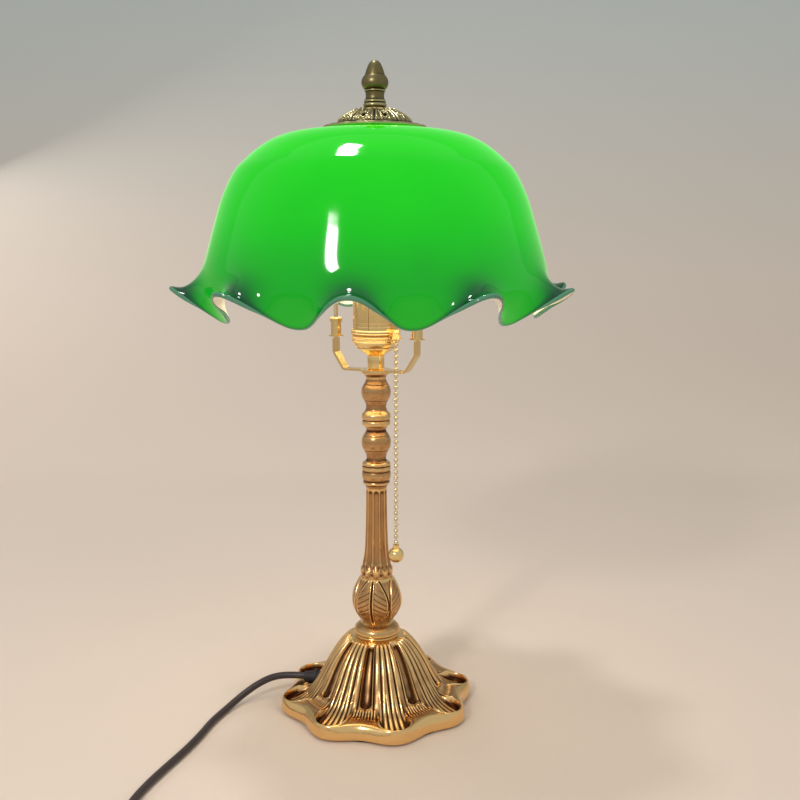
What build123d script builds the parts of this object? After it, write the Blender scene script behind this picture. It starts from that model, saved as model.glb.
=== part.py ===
"""Banker desk lamp: cast brass stand, pull-chain lampholder, harp and ruffled glass shade.

Millimetres, +Z up. The origin is the middle of the foot, on the table. Azimuths are in
degrees, 0 towards the front (-Y) and 90 towards the right (+X). Each piece is one node.
"""

from build123d import *
import os
from math import atan2, cos, degrees, hypot, pi, radians, sin, tan

os.makedirs("parts", exist_ok=True)

# Clearances ------------------------------------------------------------------------
slip = 0.1  # between pieces of one body that slide together
running = 0.06  # radial, between a shaft and the bore that turns or slides on it
free = 0.4  # radial, around a piece that moves past another without touching

# Foot ------------------------------------------------------------------------------
felt_thickness = 1.2
foot_tip_radius = 70.4  # out at the scoops
foot_valley_radius = 63.7  # in at the pillows between them
foot_lobes = 8
foot_azimuth = 13.3
foot_rim_height = 10.3
foot_rim_round = 2.5
scoop_radius = 17.0
scoop_floor = 6.6
flute_radius = 4.4
flute_depth = 1.5
bell_wall = 3.4
bell_top_radius = 18.2
bell_top = 53.0
pocket_radius = 50.0
pocket_depth = 7.8
ballast_thickness = 4.8
ballast_hole_radius = 12.0
cover_thickness = 1.0
screw_radius = 2.0
screw_head_radius = 3.6
screw_head_height = 1.2
cover_screw_circle = 33.0
scoop_setback = 8.4  # from the tip of the foot to the middle of a scoop

# Column ----------------------------------------------------------------------------
tube_radius = 4.9
tube_wall = 1.2
lock_nut_flats = 15.0
lock_nut_height = 4.0
lock_washer_radius = 10.5
lock_washer_thickness = 1.2
collar_radius = 16.6
collar_height = 10.7
vase_radius = 17.6
vase_height = 33.8
shaft_foot_radius = 11.9
shaft_radius = 7.3
shaft_height = 65.2
shaft_flutes = 10
shaft_flute_radius = 1.9
cup_radius = 10.3
cup_height = 19.5
ball_radius = 10.4
ball_height = 24.9
ring_radius = 10.2
ring_height = 11.3
upper_ball_height = 23.9
flange_height = 3.7
neck_radius = 7.1

# Saddle and lampholder -------------------------------------------------------------
saddle_azimuth = 65.0
saddle_thickness = 1.6
saddle_width = 8.0
saddle_ring_radius = 11.0
saddle_flat = 24.0  # where the arms start to rise
leg_radius = 31.5  # from the axis to each harp leg
arm_rise = 12.0  # height of the slope above the strip
prong_start = 23.6  # height above the strip where the harp's foot rests
prong_width = 3.0
prong_thickness = 1.4
prong_height = 7.0
neck_nut_flats = 11.6
neck_nut_height = 10.2
cap_wall = 0.8
cap_radius = 17.4
cap_height = 17.8
shell_radius = 16.0
shell_wall = 0.6
shell_height = 37.5
liner_wall = 0.6
screw_shell_radius = 13.3
screw_shell_wall = 0.4
screw_shell_height = 24.0
body_height = 20.0
spout_azimuth = 41.3
chain_radius = 21.3  # from the axis to the hanging chain
spout_radius = 2.7
spout_wall = 0.6
lever_hub_radius = 3.2
terminal_screw_radius = 1.5
terminal_screw_length = 3.6
hook_drop = 4.6  # from the spout's middle to the foot of the hook
lever_length = 10.0
lever_thickness = 2.0
lever_pivot_radius = 3.0
pivot_pin_radius = 1.0

# Pull chain ------------------------------------------------------------------------
bead_radius = 1.6
bead_pitch = 4.23
bead_count = 34
link_wire_radius = 0.45
pendant_radius = 5.5
pendant_collar_radius = 2.3
pendant_collar_height = 2.6

# Bulb ------------------------------------------------------------------------------
bulb_radius = 24.0
bulb_length = 89.0
bulb_cap_radius = 12.9
bulb_cap_height = 20.0
bulb_neck_radius = 12.2
bulb_wall = 1.0
bulb_contact_height = 4.0
contact_gap = 0.4

# Harp ------------------------------------------------------------------------------
wire_radius = 1.6
leg_length = 24.0  # straight leg above the foot of the harp
harp_half_width = 46.0
harp_shoulder = 36.0  # height of the slope above the straight leg
harp_side = 34.0
harp_height = 128.6  # from the foot of the harp to the middle of its top wire
harp_top_half_width = 24.0
harp_bend = 14.0
foot_clip_width = 4.6
foot_clip_depth = 3.2
foot_clip_height = 9.0
sleeve_radius = 3.8
sleeve_lip_radius = 5.3
sleeve_bead_radius = 4.5
sleeve_height = 13.5
stud_radius = 3.15
stud_plate_radius = 9.0
stud_plate_thickness = 3.0
stud_height = 33.0

# Shade and its fixings -------------------------------------------------------------
glass_wall = 3.0
glass_hole_radius = 6.5
shade_ruffles = 10
shade_azimuth = -5.3  # of the first ruffle that turns up
shade_top_flat_radius = 36.0
shade_radius = 106.0  # at mid height
shade_depth = 127.5  # from the top down to the hanging edge
ruffle_overhang = 33.5  # of the turned-up ruffles beyond the shade's wall
ruffle_rise = 24.0  # turned-up edge above the hanging edge
grommet_radius = 10.0
grommet_flange = 2.0
disc_radius = 24.0
disc_thickness = 1.6
cap_plate_radius = 36.0
cap_plate_thickness = 1.4
cap_plate_height = 13.0
washer_radius = 6.2
washer_thickness = 1.0
finial_height = 31.0
finial_radius = 9.1

# Cord ------------------------------------------------------------------------------
cord_radius = 2.5
cord_azimuth = -100.0
cord_exit_height = 16.0
relief_radius = 4.3
relief_tip_radius = 3.4
relief_flange_radius = 5.6
relief_flange_start = 1.5  # outwards from the seat
relief_flange_thickness = 2.0
relief_inside = 10.0
relief_outside = 11.0
relief_seat_radius = 44.0  # where the flange sits against the bell
coil_centre = (-108.6, -199.0)
coil_radius = 30.0  # middle of the turns
coil_width = 20.9
coil_height = 10.4
coil_turns = 7.25
plug_length = 26.0
plug_width = 24.0
plug_height = 13.0
plug_neck_length = 20.0
plug_shoulder = 9.0  # from the neck to the full section of the body
plug_neck_radius = 4.0
blade_length = 17.0
blade_width = 6.4
blade_thickness = 1.5
blade_spacing = 12.7


# Small helpers ---------------------------------------------------------------------
def at(radius, azimuth, height=0.0):
    """Point at a radius and azimuth about Z."""
    angle = radians(azimuth)
    return Vector(radius * sin(angle), -radius * cos(angle), height)


def upright(azimuth):
    """Vertical plane through Z with its x pointing outwards at the azimuth."""
    outward = at(1, azimuth)
    return Plane((0, 0, 0), x_dir=outward, z_dir=(outward.Y, -outward.X, 0))


def facing(radius, azimuth, height):
    """Plane at a place about Z with its normal pointing outwards."""
    return Plane(at(radius, azimuth, height), z_dir=at(1, azimuth))


def turned(curve, foot, bore):
    """Half section of a turned piece: a smooth curve of (radius, height), bored right through."""
    points = [(radius, foot + height) for radius, height in curve]
    low, high = points[0][1], points[-1][1]
    with BuildSketch(Plane.XZ) as drawn:
        with BuildLine():
            Spline(*points)
            Polyline(points[-1], (bore, high), (bore, low), points[0])
        make_face()
    return drawn.sketch


def inset(curve, wall):
    """The curve moved by the wall towards its right-hand side, point by point."""
    moved = []
    for index, (x, y) in enumerate(curve):
        x0, y0 = curve[max(index - 1, 0)]
        x1, y1 = curve[min(index + 1, len(curve) - 1)]
        length = hypot(x1 - x0, y1 - y0)
        moved.append((x + wall * (y1 - y0) / length, y - wall * (x1 - x0) / length))
    return moved


def finish(piece, name):
    """Label a finished piece and write it."""
    piece.part.label = name
    export_step(piece.part, f"parts/{name}.step")


# Heights of the stack, from the table up ---------------------------------------------
cover_foot = felt_thickness + pocket_depth - ballast_thickness - cover_thickness
ballast_foot = cover_foot + cover_thickness
pocket_ceiling = felt_thickness + pocket_depth
bell_ceiling = bell_top - bell_wall
nut_foot = bell_ceiling - lock_washer_thickness - lock_nut_height
tube_foot = nut_foot - 2.0
vase_foot = bell_top + collar_height
shaft_foot = vase_foot + vase_height
cup_foot = shaft_foot + shaft_height
ball_foot = cup_foot + cup_height
ring_foot = ball_foot + ball_height
upper_ball_foot = ring_foot + ring_height
flange_foot = upper_ball_foot + upper_ball_height
saddle_foot = flange_foot + flange_height
neck_nut_foot = saddle_foot + saddle_thickness
cap_foot = neck_nut_foot + neck_nut_height
cap_rim = cap_foot + cap_height
shell_foot = cap_rim - 5.0
body_foot = cap_foot + 8.2
body_top = body_foot + body_height
spout_height = cap_rim - 1.8
tube_top = cap_foot + 3.0
harp_foot = saddle_foot + prong_start
harp_top = harp_foot + harp_height
stud_plate_foot = harp_top + wire_radius + 0.8
disc_foot = stud_plate_foot + stud_plate_thickness
shade_floor = disc_foot + disc_thickness + grommet_flange
shade_top = shade_floor + glass_wall
washer_foot = shade_top + slip + cap_plate_height
finial_foot = washer_foot + washer_thickness
bulb_foot = body_top + contact_gap + 1.6
bore = tube_radius + slip

# Foot ------------------------------------------------------------------------------
bell_curve = [
    (bell_top_radius, bell_top),
    (bell_top_radius + 9.3, bell_top - 8.5),
    (bell_top_radius + 17.4, bell_top - 20.5),
    (bell_top_radius + 22.3, bell_top - 31.5),
    (bell_top_radius + 27.3, foot_rim_height + 4.2),
    (bell_top_radius + 37.8, foot_rim_height - 0.1),
]
inner_curve = inset(bell_curve[:-1], bell_wall)

with BuildPart() as felt_pad:
    with BuildSketch():
        Circle(foot_valley_radius - 2.2)
    extrude(amount=felt_thickness)
finish(felt_pad, "felt_pad")

with BuildPart() as base_casting:
    with BuildSketch(Plane.XZ) as bell_section:
        with BuildLine():
            Spline(*bell_curve)
            Polyline(
                bell_curve[-1],
                (bell_curve[-1][0], felt_thickness),
                (0, felt_thickness),
                (0, bell_top),
                bell_curve[0],
            )
        make_face()
    revolve(axis=Axis.Z)
    with BuildSketch(Plane.XY.offset(felt_thickness)) as rim_outline:
        with BuildLine():
            middle_radius = (foot_tip_radius + foot_valley_radius) / 2
            swing = (foot_tip_radius - foot_valley_radius) / 2
            steps = foot_lobes * 6
            wave = [
                at(middle_radius + swing * cos(2 * pi * foot_lobes * step / steps),
                   foot_azimuth + 360 * step / steps)
                for step in range(steps)
            ]
            Spline(*wave, periodic=True)
        make_face()
    extrude(amount=foot_rim_height - felt_thickness)
    rim_edges = base_casting.edges().filter_by_position(
        Axis.Z, foot_rim_height - 0.01, foot_rim_height + 0.01
    )
    fillet(rim_edges.sort_by(SortBy.LENGTH)[-1], foot_rim_round)
    scoop_middle = at(foot_tip_radius - scoop_setback, foot_azimuth - 90)
    with PolarLocations(scoop_middle.length, foot_lobes, start_angle=foot_azimuth - 90):
        with Locations((0, 0, scoop_floor + scoop_radius)):
            Sphere(scoop_radius, mode=Mode.SUBTRACT)
    # Round-ended flutes run down the bell between the scoops.
    flute_low, flute_high = bell_curve[4], bell_curve[2]
    flute_run = hypot(flute_low[0] - flute_high[0], flute_low[1] - flute_high[1])
    flute_slope = degrees(atan2(flute_low[0] - flute_high[0], flute_high[1] - flute_low[1]))
    with PolarLocations(0, foot_lobes, start_angle=foot_azimuth - 90 + 180 / foot_lobes):
        out = flute_radius - flute_depth
        place = Location(
            (
                flute_low[0] + out * cos(radians(flute_slope)),
                0,
                flute_low[1] + out * sin(radians(flute_slope)),
            ),
            (0, -flute_slope, 0),
        )
        with Locations(place):
            Cylinder(
                flute_radius, flute_run, align=(Align.CENTER, Align.CENTER, Align.MIN),
                mode=Mode.SUBTRACT,
            )
            Sphere(flute_radius, mode=Mode.SUBTRACT)
    with BuildSketch(Plane.XZ) as hollow_section:
        with BuildLine():
            Spline(*inner_curve)
            Polyline(
                inner_curve[-1],
                (inner_curve[-1][0], pocket_ceiling),
                (pocket_radius, pocket_ceiling),
                (pocket_radius, felt_thickness),
                (0, felt_thickness),
                (0, inner_curve[0][1]),
                inner_curve[0],
            )
        make_face()
    revolve(axis=Axis.Z, mode=Mode.SUBTRACT)
    with Locations((0, 0, bell_top)):
        Hole(bore, depth=4 * bell_wall)
    with Locations(facing(pocket_radius, cord_azimuth, cord_exit_height)):
        Cylinder(relief_radius + slip, pocket_radius, mode=Mode.SUBTRACT)
    recess_start = relief_seat_radius + relief_flange_start
    with Locations(facing(recess_start, cord_azimuth, cord_exit_height)):
        Cylinder(
            relief_flange_radius + slip, pocket_radius,
            align=(Align.CENTER, Align.CENTER, Align.MIN), mode=Mode.SUBTRACT,
        )
finish(base_casting, "base_casting")

with BuildPart() as ballast_ring:
    with BuildSketch(Plane.XY.offset(ballast_foot)):
        Circle(pocket_radius - slip)
        Circle(ballast_hole_radius, mode=Mode.SUBTRACT)
        with PolarLocations(cover_screw_circle, 3):
            Circle(screw_radius, mode=Mode.SUBTRACT)
    extrude(amount=ballast_thickness)
finish(ballast_ring, "ballast_ring")

with BuildPart() as bottom_cover:
    with BuildSketch(Plane.XY.offset(cover_foot)):
        Circle(pocket_radius - slip)
        with PolarLocations(cover_screw_circle, 3):
            Circle(screw_radius, mode=Mode.SUBTRACT)
    extrude(amount=cover_thickness)
finish(bottom_cover, "bottom_cover")

with BuildPart() as cover_screws:
    with PolarLocations(cover_screw_circle, 3):
        with Locations((0, 0, cover_foot)):
            Cylinder(
                screw_radius, cover_thickness + ballast_thickness,
                align=(Align.CENTER, Align.CENTER, Align.MIN),
            )
            Cylinder(
                screw_head_radius, screw_head_height,
                align=(Align.CENTER, Align.CENTER, Align.MAX),
            )
finish(cover_screws, "cover_screws")

# Column ----------------------------------------------------------------------------
with BuildPart() as threaded_tube:
    with BuildSketch(Plane.XY.offset(tube_foot)):
        Circle(tube_radius)
        Circle(tube_radius - tube_wall, mode=Mode.SUBTRACT)
    extrude(amount=tube_top - tube_foot)
finish(threaded_tube, "threaded_tube")

with BuildPart() as lock_nut:
    with BuildSketch(Plane.XY.offset(nut_foot)):
        RegularPolygon(lock_nut_flats / 2, 6, major_radius=False)
        Circle(tube_radius, mode=Mode.SUBTRACT)
    extrude(amount=lock_nut_height)
finish(lock_nut, "lock_nut")

with BuildPart() as lock_washer:
    with BuildSketch(Plane.XY.offset(nut_foot + lock_nut_height)):
        Circle(lock_washer_radius)
        Circle(bore, mode=Mode.SUBTRACT)
    extrude(amount=lock_washer_thickness)
finish(lock_washer, "lock_washer")

with BuildPart() as base_collar:
    with BuildSketch(Plane.XZ):
        with BuildLine():
            Polyline((bore, bell_top), (collar_radius - 1.5, bell_top),
                     (collar_radius - 1.5, bell_top + 0.8))
            Spline(
                (collar_radius - 1.5, bell_top + 0.8),
                (collar_radius, bell_top + 2.6),
                (collar_radius - 1.5, bell_top + 0.55 * collar_height),
                (collar_radius * 0.6, bell_top + collar_height),
            )
            Polyline((collar_radius * 0.6, bell_top + collar_height),
                     (bore, bell_top + collar_height), (bore, bell_top))
        make_face()
    revolve(axis=Axis.Z)
finish(base_collar, "base_collar")

with BuildPart() as leaf_vase:
    revolve(
        turned(
            [
                (vase_radius - 7.6, 0),
                (vase_radius - 3.6, 0.19 * vase_height),
                (vase_radius - 0.4, 0.37 * vase_height),
                (vase_radius, 0.52 * vase_height),
                (vase_radius - 3.1, 0.79 * vase_height),
                (shaft_foot_radius - 1.0, vase_height),
            ],
            vase_foot,
            bore,
        ),
        axis=Axis.Z,
    )
finish(leaf_vase, "leaf_vase")

with BuildPart() as fluted_shaft:
    revolve(
        turned(
            [
                (shaft_foot_radius - 1.0, 0),
                (shaft_foot_radius, 5.7),
                (shaft_foot_radius - 2.2, 11.5),
                (shaft_radius + 1.2, 18.0),
                (shaft_radius + 0.6, 28.0),
                (shaft_radius, 48.0),
                (shaft_radius, shaft_height),
            ],
            shaft_foot,
            bore,
        ),
        axis=Axis.Z,
    )
    flute_length = shaft_height - 18.0
    shaft_lean = degrees(atan2(1.0, flute_length))
    with PolarLocations(0, shaft_flutes):
        with Locations(Location((shaft_radius + 0.55 + shaft_flute_radius, 0, shaft_foot + 16.0),
                                (0, -shaft_lean, 0))):
            Cylinder(
                shaft_flute_radius, flute_length,
                align=(Align.CENTER, Align.CENTER, Align.MIN), mode=Mode.SUBTRACT,
            )
finish(fluted_shaft, "fluted_shaft")

with BuildPart() as shaft_cup:
    revolve(
        turned(
            [
                (shaft_radius, 0),
                (cup_radius - 2.2, 0.13 * cup_height),
                (cup_radius, 0.43 * cup_height),
                (cup_radius - 0.9, 0.52 * cup_height),
                (cup_radius - 0.3, 0.70 * cup_height),
                (cup_radius - 0.4, 0.90 * cup_height),
                (neck_radius + 0.6, cup_height),
            ],
            cup_foot,
            bore,
        ),
        axis=Axis.Z,
    )
finish(shaft_cup, "shaft_cup")


def ball_curve(height):
    """A ball between two necks, for a column piece of this height."""
    return [
        (neck_radius + 0.2, 0),
        (neck_radius, 0.12 * height),
        (ball_radius - 1.2, 0.34 * height),
        (ball_radius, 0.52 * height),
        (ball_radius - 1.2, 0.70 * height),
        (neck_radius, 0.89 * height),
        (neck_radius + 0.6, height),
    ]


with BuildPart() as lower_ball:
    revolve(turned(ball_curve(ball_height), ball_foot, bore), axis=Axis.Z)
finish(lower_ball, "lower_ball")

with BuildPart() as ring_spacer:
    revolve(
        turned(
            [
                (neck_radius + 0.9, 0),
                (ring_radius, 0.27 * ring_height),
                (ring_radius - 0.8, 0.48 * ring_height),
                (ring_radius, 0.70 * ring_height),
                (neck_radius + 0.8, ring_height),
            ],
            ring_foot,
            bore,
        ),
        axis=Axis.Z,
    )
finish(ring_spacer, "ring_spacer")

with BuildPart() as upper_ball:
    revolve(turned(ball_curve(upper_ball_height), upper_ball_foot, bore), axis=Axis.Z)
finish(upper_ball, "upper_ball")

with BuildPart() as top_flange:
    revolve(
        turned(
            [
                (neck_radius, 0),
                (neck_radius + 2.3, 0.6 * flange_height),
                (ring_radius, flange_height),
            ],
            flange_foot,
            bore,
        ),
        axis=Axis.Z,
    )
finish(top_flange, "top_flange")

# Saddle, with a prong under each leg of the harp --------------------------------------
saddle_plane = upright(saddle_azimuth)
saddle_middle = saddle_foot + saddle_thickness / 2
arm_path = [
    (0, saddle_middle),
    (saddle_flat, saddle_middle),
    (leg_radius, saddle_middle + arm_rise),
    (leg_radius, harp_foot - 1.2),
]

with BuildPart() as saddle:
    for side in (1, -1):
        with BuildSketch(saddle_plane) as arm:
            with BuildLine():
                FilletPolyline(*[(side * x, y) for x, y in arm_path], radius=3.0)
            trace(line_width=saddle_thickness)
        extrude(amount=saddle_width / 2, both=True)
        with BuildSketch(saddle_plane) as prong:
            with Locations((side * leg_radius, harp_foot - 2.0)):
                Rectangle(prong_thickness, prong_height + 2.0, align=(Align.CENTER, Align.MIN))
        extrude(amount=prong_width / 2, both=True)
    with BuildSketch(Plane.XY.offset(saddle_foot)):
        Circle(saddle_ring_radius)
    extrude(amount=saddle_thickness)
    with Locations((0, 0, neck_nut_foot)):
        Hole(bore, depth=2 * saddle_thickness)
finish(saddle, "saddle")

with BuildPart() as neck_nut:
    with BuildSketch(Plane.XY.offset(neck_nut_foot)):
        RegularPolygon(neck_nut_flats / 2, 8, major_radius=False)
        Circle(tube_radius, mode=Mode.SUBTRACT)
    extrude(amount=neck_nut_height)
finish(neck_nut, "neck_nut")

# Lampholder ------------------------------------------------------------------------
cap_curve = [
    (tube_radius + 1.6, cap_foot),
    (tube_radius + 1.8, cap_foot + 1.2),
    (cap_radius - 5.2, cap_foot + 4.4),
    (cap_radius - 4.1, cap_foot + 7.4),
    (cap_radius - 0.9, cap_foot + 10.4),
    (cap_radius, cap_foot + 13.6),
    (cap_radius, cap_rim),
]
cap_inner = inset(cap_curve[2:], -cap_wall)


def spout_hole(radius):
    """Cylinder along the chain spout's way through the lampholder's walls."""
    with Locations(facing(chain_radius / 2, spout_azimuth, spout_height)):
        Cylinder(radius, chain_radius, mode=Mode.SUBTRACT)


with BuildPart() as socket_cap:
    with BuildSketch(Plane.XZ):
        with BuildLine():
            Polyline(*cap_curve, *reversed(cap_inner), (tube_radius, cap_foot + 3.6),
                     (tube_radius, cap_foot), close=True)
        make_face()
    revolve(axis=Axis.Z)
    spout_hole(spout_radius + slip)
finish(socket_cap, "socket_cap")

with BuildPart() as socket_shell:
    with BuildSketch(Plane.XY.offset(shell_foot)):
        Circle(shell_radius)
        Circle(shell_radius - shell_wall, mode=Mode.SUBTRACT)
    extrude(amount=shell_height)
    spout_hole(spout_radius + slip)
finish(socket_shell, "socket_shell")

liner_radius = shell_radius - shell_wall - slip
with BuildPart() as socket_liner:
    with BuildSketch(Plane.XY.offset(shell_foot)):
        Circle(liner_radius)
        Circle(liner_radius - liner_wall, mode=Mode.SUBTRACT)
    extrude(amount=shell_height - 1.0)
    spout_hole(spout_radius + slip)
finish(socket_liner, "socket_liner")

body_radius = liner_radius - liner_wall - slip
lever_slot = lever_thickness + 2 * free
lever_plane = upright(spout_azimuth)
with BuildPart() as switch_body:
    with BuildSketch(Plane.XY.offset(body_foot)):
        Circle(cap_radius - 6.0)
    extrude(amount=shell_foot - body_foot)
    with BuildSketch(Plane.XY.offset(shell_foot)):
        Circle(body_radius)
    extrude(amount=body_top - shell_foot)
    with BuildSketch(lever_plane):
        with Locations((-1.0, body_foot)):
            Rectangle(
                body_radius + 2.0, spout_height + 4.0 - body_foot, align=(Align.MIN, Align.MIN)
            )
    extrude(amount=lever_slot / 2, both=True, mode=Mode.SUBTRACT)
    with BuildSketch(lever_plane):
        with Locations((lever_pivot_radius, spout_height)):
            Circle(pivot_pin_radius)
    extrude(amount=body_radius * 0.6, both=True, mode=Mode.SUBTRACT)
    for side in (1, -1):
        with Locations(facing(body_radius, spout_azimuth + side * 90, shell_foot + 5.0)):
            Cylinder(1.5, 8.0, mode=Mode.SUBTRACT)
finish(switch_body, "switch_body")

with BuildPart() as terminal_screws:
    for side in (1, -1):
        with Locations(facing(body_radius - 2.2, spout_azimuth + side * 90, shell_foot + 5.0)):
            Cylinder(terminal_screw_radius, terminal_screw_length)
finish(terminal_screws, "terminal_screws")

with BuildPart() as switch_pin:
    with BuildSketch(lever_plane):
        with Locations((lever_pivot_radius, spout_height)):
            Circle(pivot_pin_radius)
    extrude(amount=body_radius * 0.6, both=True)
finish(switch_pin, "switch_pin")

with BuildPart() as switch_lever:
    with BuildSketch(lever_plane):
        with Locations((lever_pivot_radius, spout_height)):
            Circle(lever_hub_radius)
            with Locations((0, 0)):
                Rectangle(lever_length, 2.0, align=(Align.MIN, Align.CENTER))
            Circle(pivot_pin_radius + running, mode=Mode.SUBTRACT)
    extrude(amount=lever_thickness / 2, both=True)
finish(switch_lever, "switch_lever")

with BuildPart() as screw_shell:
    with BuildSketch(Plane.XY.offset(body_top)):
        Circle(screw_shell_radius + screw_shell_wall)
        Circle(screw_shell_radius, mode=Mode.SUBTRACT)
    extrude(amount=screw_shell_height)
finish(screw_shell, "screw_shell")

with BuildPart() as centre_contact:
    with Locations((0, 0, body_top)):
        Box(8.0, 4.0, 1.6, align=(Align.CENTER, Align.CENTER, Align.MIN))
finish(centre_contact, "centre_contact")

with BuildPart() as chain_spout:
    with Locations(facing((chain_radius + body_radius) / 2 + 0.2, spout_azimuth, spout_height)):
        Cylinder(spout_radius, chain_radius - body_radius - 0.4)
    with Locations(at(chain_radius, spout_azimuth, spout_height)):
        Sphere(spout_radius)
        Cone(spout_radius + 1.0, spout_radius, 3.4, align=(Align.CENTER, Align.CENTER, Align.MAX))
        Cone(
            spout_radius + 0.4, spout_radius - spout_wall, 3.4,
            align=(Align.CENTER, Align.CENTER, Align.MAX), mode=Mode.SUBTRACT,
        )
        Sphere(spout_radius - spout_wall, mode=Mode.SUBTRACT)
    with Locations(facing(chain_radius / 2, spout_azimuth, spout_height)):
        Cylinder(spout_radius - spout_wall, chain_radius, mode=Mode.SUBTRACT)
finish(chain_spout, "chain_spout")

# Pull chain: a hook in the spout, then the beads and the ball pendant -------------------
chain_place = at(chain_radius, spout_azimuth)
hook_foot = spout_height - hook_drop
with BuildPart() as chain_hook:
    with Locations((chain_place.X, chain_place.Y, hook_foot + bead_radius)):
        Sphere(bead_radius)
        Cylinder(link_wire_radius, hook_drop - 1.0, align=(Align.CENTER, Align.CENTER, Align.MIN))
finish(chain_hook, "chain_hook")

swing_height = hook_foot - 0.6
first_bead = swing_height - bead_pitch / 2
last_bead = first_bead - (bead_count - 1) * bead_pitch
with BuildPart() as pull_chain:
    with Locations((chain_place.X, chain_place.Y, last_bead)):
        Cylinder(
            link_wire_radius, swing_height - last_bead,
            align=(Align.CENTER, Align.CENTER, Align.MIN),
        )
    with Locations(
        *[(chain_place.X, chain_place.Y, first_bead - k * bead_pitch) for k in range(bead_count)]
    ):
        Sphere(bead_radius)
finish(pull_chain, "pull_chain")

collar_foot = last_bead - bead_radius - 0.05 - pendant_collar_height
with BuildPart() as chain_pendant:
    with Locations((chain_place.X, chain_place.Y, collar_foot - pendant_radius + 0.6)):
        Sphere(pendant_radius)
    with Locations((chain_place.X, chain_place.Y, collar_foot)):
        Cylinder(
            pendant_collar_radius, pendant_collar_height,
            align=(Align.CENTER, Align.CENTER, Align.MIN),
        )
finish(chain_pendant, "chain_pendant")

# Bulb ------------------------------------------------------------------------------
cap_low = bulb_foot + bulb_contact_height
with BuildPart() as bulb_contact:
    with Locations((0, 0, bulb_foot)):
        Cone(
            4.5, bulb_cap_radius - 2.0, bulb_contact_height,
            align=(Align.CENTER, Align.CENTER, Align.MIN),
        )
finish(bulb_contact, "bulb_contact")

with BuildPart() as bulb_cap:
    with BuildSketch(Plane.XY.offset(cap_low)):
        Circle(bulb_cap_radius)
        Circle(bulb_neck_radius + slip, mode=Mode.SUBTRACT)
    extrude(amount=bulb_cap_height)
    with BuildSketch(Plane.XY.offset(cap_low)):
        Circle(bulb_cap_radius)
    extrude(amount=1.0)
finish(bulb_cap, "bulb_cap")

bulb_middle = bulb_foot + bulb_length - bulb_radius
with BuildPart() as bulb_glass:
    with BuildSketch(Plane.XZ):
        with BuildLine():
            neck_top = cap_low + bulb_cap_height + 4.0
            Polyline((0, bulb_middle + bulb_radius - bulb_wall), (0, bulb_middle + bulb_radius))
            RadiusArc((0, bulb_middle + bulb_radius), (bulb_radius, bulb_middle), bulb_radius)
            Spline(
                (bulb_radius, bulb_middle), (bulb_neck_radius, neck_top),
                tangents=((0, -1), (0, -1)),
            )
            Polyline(
                (bulb_neck_radius, neck_top),
                (bulb_neck_radius, cap_low + 1.5),
                (bulb_neck_radius - bulb_wall, cap_low + 1.5),
                (bulb_neck_radius - bulb_wall, neck_top),
            )
            Spline(
                (bulb_neck_radius - bulb_wall, neck_top), (bulb_radius - bulb_wall, bulb_middle),
                tangents=((0, 1), (0, 1)),
            )
            RadiusArc(
                (bulb_radius - bulb_wall, bulb_middle),
                (0, bulb_middle + bulb_radius - bulb_wall),
                -(bulb_radius - bulb_wall),
            )
        make_face()
    revolve(axis=Axis.Z)
finish(bulb_glass, "bulb_glass")

# Harp ------------------------------------------------------------------------------
wire_foot = harp_foot + foot_clip_height
leg_top = wire_foot + leg_length
wire_path = [
    (leg_radius, wire_foot),
    (leg_radius, leg_top),
    (harp_half_width, leg_top + harp_shoulder),
    (harp_half_width, leg_top + harp_shoulder + harp_side),
    (harp_top_half_width, harp_top),
]
wire_path += [(-x, y) for x, y in reversed(wire_path)]

with BuildPart() as harp_wire:
    with BuildLine(saddle_plane) as wire_line:
        FilletPolyline(*wire_path, radius=harp_bend)
    with BuildSketch(Plane.XY.offset(wire_foot)):
        with Locations((at(leg_radius, saddle_azimuth).X, at(leg_radius, saddle_azimuth).Y)):
            Circle(wire_radius)
    sweep(path=wire_line.line)
finish(harp_wire, "harp_wire")

with BuildPart() as harp_clips:
    for side in (1, -1):
        with BuildSketch(saddle_plane):
            with Locations((side * leg_radius, harp_foot)):
                Rectangle(foot_clip_depth, foot_clip_height, align=(Align.CENTER, Align.MIN))
        extrude(amount=foot_clip_width / 2, both=True)
        with BuildSketch(saddle_plane):
            with Locations((side * leg_radius, harp_foot)):
                Rectangle(
                    prong_thickness + 2 * 0.3, prong_height + 0.6,
                    align=(Align.CENTER, Align.MIN),
                )
        extrude(amount=prong_width / 2 + 0.3, both=True, mode=Mode.SUBTRACT)
finish(harp_clips, "harp_clips")

sleeve_bore = hypot(foot_clip_width, foot_clip_depth) / 2 + 0.3
for side, name in ((1, "sleeve_right"), (-1, "sleeve_left")):
    leg = at(leg_radius, saddle_azimuth if side == 1 else saddle_azimuth + 180)
    with BuildPart() as sleeve:
        with Locations((leg.X, leg.Y, harp_foot)):
            Cylinder(
                sleeve_lip_radius, 0.8, align=(Align.CENTER, Align.CENTER, Align.MIN)
            )
            Cone(
                sleeve_radius, sleeve_radius - 0.2, sleeve_height,
                align=(Align.CENTER, Align.CENTER, Align.MIN),
            )
            Cylinder(
                wire_radius + running, sleeve_height,
                align=(Align.CENTER, Align.CENTER, Align.MIN), mode=Mode.SUBTRACT,
            )
            Cylinder(
                sleeve_bore, foot_clip_height + 0.5,
                align=(Align.CENTER, Align.CENTER, Align.MIN), mode=Mode.SUBTRACT,
            )
        with Locations((leg.X, leg.Y, harp_foot + sleeve_height)):
            Cylinder(
                sleeve_bead_radius, 3.2, align=(Align.CENTER, Align.CENTER, Align.MAX)
            )
            Cylinder(
                wire_radius + running, 8.0,
                align=(Align.CENTER, Align.CENTER, Align.MAX), mode=Mode.SUBTRACT,
            )
        fillet(sleeve.edges().group_by(Axis.Z)[-1].sort_by(SortBy.LENGTH)[-1], 1.2)
    finish(sleeve, name)

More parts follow.
